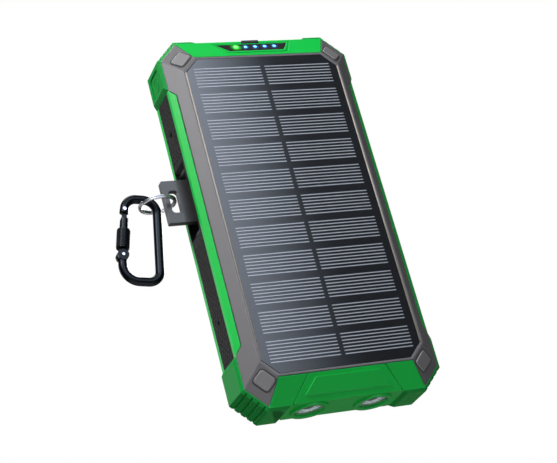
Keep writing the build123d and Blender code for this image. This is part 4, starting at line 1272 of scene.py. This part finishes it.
def addSplitRing():
    # flattened spring wire wound twice, its two ends showing
    low, high = corners("split_ring")
    middle = (low + high) / 2
    radius = (high.x - low.x) / 2 - (high.z - low.z) / 2
    rise = (high.z - low.z) / 2 - hanging["wireHigh"] * mm
    layers = []
    count = int(hanging["steps"] * hanging["turns"])
    for k in range(count + 1):
        turn = hanging["turns"] * k / count
        level = rise * math.tanh((turn - hanging["turns"] / 2) * hanging["crossing"])
        a = math.radians(hanging["startAt"]) + 2 * math.pi * turn
        out = Vector((math.cos(a), math.sin(a), 0))
        centre = middle + out * radius + Vector((0, 0, level))
        layers.append([centre + out * hanging["wireWide"] * mm * math.cos(b)
                       + Vector((0, 0, hanging["wireHigh"] * mm * math.sin(b)))
                       for b in anglesRound(hanging["sides"])])
    ride(joined("wound_ring", [stack(layers)], nickel, smooth=True), "ring", slots["split_ring"],
         "split_ring")


def addKnurl():
    # pyramids pressed round the lock sleeve in crossed rows
    low, high = corners("lock_sleeve")
    slide = [j for j in frame["joints"] if j["name"] == "sleeve_slide"][0]
    axis = Vector(slide["axis"]).normalized()
    radius = (high.y - low.y) / 2
    seat = facing(axis, (0, 1, 0), (low + high) / 2)
    rows, around = hanging["knurlRows"], hanging["knurlAround"]
    places = []
    for r in range(rows):
        level = hanging["knurlLength"] * mm * ((r + 0.5) / rows - 0.5)
        for k in range(around):
            a = (k + 0.5 * (r % 2)) * 2 * math.pi / around
            out = (seat.to_3x3() @ Vector((math.cos(a), math.sin(a), 0))).normalized()
            turn = facing(out, axis, (0, 0, 0)).to_euler()
            p = seat @ Vector((radius * math.cos(a), radius * math.sin(a), level))
            places.append((tuple(p), tuple(turn), hanging["knurlStretch"]))
    stud = {"Vertices": 4, "Radius Top": hanging["knurlTop"] * mm, "Radius Bottom": hanging["knurlFoot"] * mm,
            "Depth": hanging["knurlStand"] * mm}
    piece = repeatOn("sleeve_knurl", places, "GeometryNodeMeshCone", stud, blackAnodised)
    ride(piece, "sleeve", slots["lock_sleeve"])


addSplitRing()
addKnurl()
print("ring and carabiner ready")


torch = {
    "petals": 20, "outerRadius": 6.1, "rimRadius": 5.9, "throatRadius": 2.6, "depth": 1.5, "levels": 5,
    "flute": 0.05, "lift": 0.05, "floor": 0.3, "fromEnd": 1.5,
    "dieWide": 4.8, "dieHigh": 1.1, "dieEdge": 0.5,
}


def reflectorRings(x, top):
    # a plain outer wall from the back to the rim, then fluted rings down to the throat
    count = torch["petals"] * 4
    rings = [[Vector((x + px, py, z)) for px, py in circle(torch["outerRadius"] * mm, count)]
             for z in (top + (torch["depth"] + torch["floor"]) * mm, top)]
    for j in range(torch["levels"] + 1):
        t = j / torch["levels"]
        r = torch["rimRadius"] + (torch["throatRadius"] - torch["rimRadius"]) * t ** 0.8
        z = top + torch["depth"] * mm * t ** 1.3
        ring = []
        for k, a in enumerate(anglesRound(count)):
            flute = 1 - torch["flute"] * (k % 4 in (1, 2)) * (1 - t * 0.6)
            ring.append(Vector((x + r * mm * flute * math.cos(a), r * mm * flute * math.sin(a), z)))
        rings.append(ring)
    return rings


def addReflectors():
    # a pressed reflector with flutes, and the diode in its throat
    top = corners("torch_lenses")[1].z + torch["lift"] * mm
    shapes, dies = [], []
    for side in (-1, 1):
        x = side * (corners("torch_leds")[1].x - torch["fromEnd"] * mm)
        rings = reflectorRings(x, top)
        n = len(rings[0])
        last = (len(rings) - 1) * n
        faces = [face[::-1] for face in wallFaces(len(rings), n)]
        faces += [[last + i for i in range(n)][::-1], list(range(n))]
        shapes.append(([p for ring in rings for p in ring], faces))
        seat = facing((0, 0, -1), (0, 1, 0), (x, 0, top + (torch["depth"] - torch["lift"]) * mm))
        dies.append(cushionSlab(torch["dieWide"] * mm, torch["dieWide"] * mm, torch["dieHigh"] * mm,
                                torch["dieWide"] / 2 * mm, torch["dieEdge"] * mm, seat))
    ride(joined("fluted_reflectors", shapes, mirrorPlate), "root", slots["torch_reflectors"],
         "torch_reflectors")
    ride(joined("torch_dies", dies, dieBlack), "root", slots["torch_leds"])


addReflectors()
print("torches ready")


button = {"circle": 2.9, "line": 0.35, "dot": 0.6, "stand": 0.12}


def addButtonRing():
    # a fine moulded circle on the power button, and a dot at its middle
    low, high = corners("power_button")
    seat = facing((-1, 0, 0), (0, 0, 1), (low.x, (low.y + high.y) / 2, (low.z + high.z) / 2))
    stand = button["stand"] * mm
    shapes = [inkShape(arcBand(button["circle"], button["line"], 0, 360, 40), seat, stand),
              flatShape(circle(button["dot"] * mm, 20), seat, stand)]
    ride(joined("button_circle", shapes, greenTpu), "button", slots["power_button"])


cover = {"ribs": 21, "margin": 3.0, "deep": 9.0, "ribWide": 0.7, "ribHigh": 0.5}


def addCoverRibs():
    # low ribs across the rubber cover
    low, high = corners("port_cover")
    wide = (high.x - low.x) - 2 * cover["margin"] * mm
    stretch = (cover["ribWide"] * mm, cover["deep"] * mm, cover["ribHigh"] * mm)
    places = [((-wide / 2 + wide * k / (cover["ribs"] - 1), 0, high.z), (0, 0, 0), stretch)
              for k in range(cover["ribs"])]
    piece = repeatOn("cover_ribs", places, "GeometryNodeMeshCube", {"Size": (1, 1, 1)}, coverRubber)
    ride(piece, "cover", slots["port_cover"])


addButtonRing()
addCoverRibs()
print("button and cover ready")
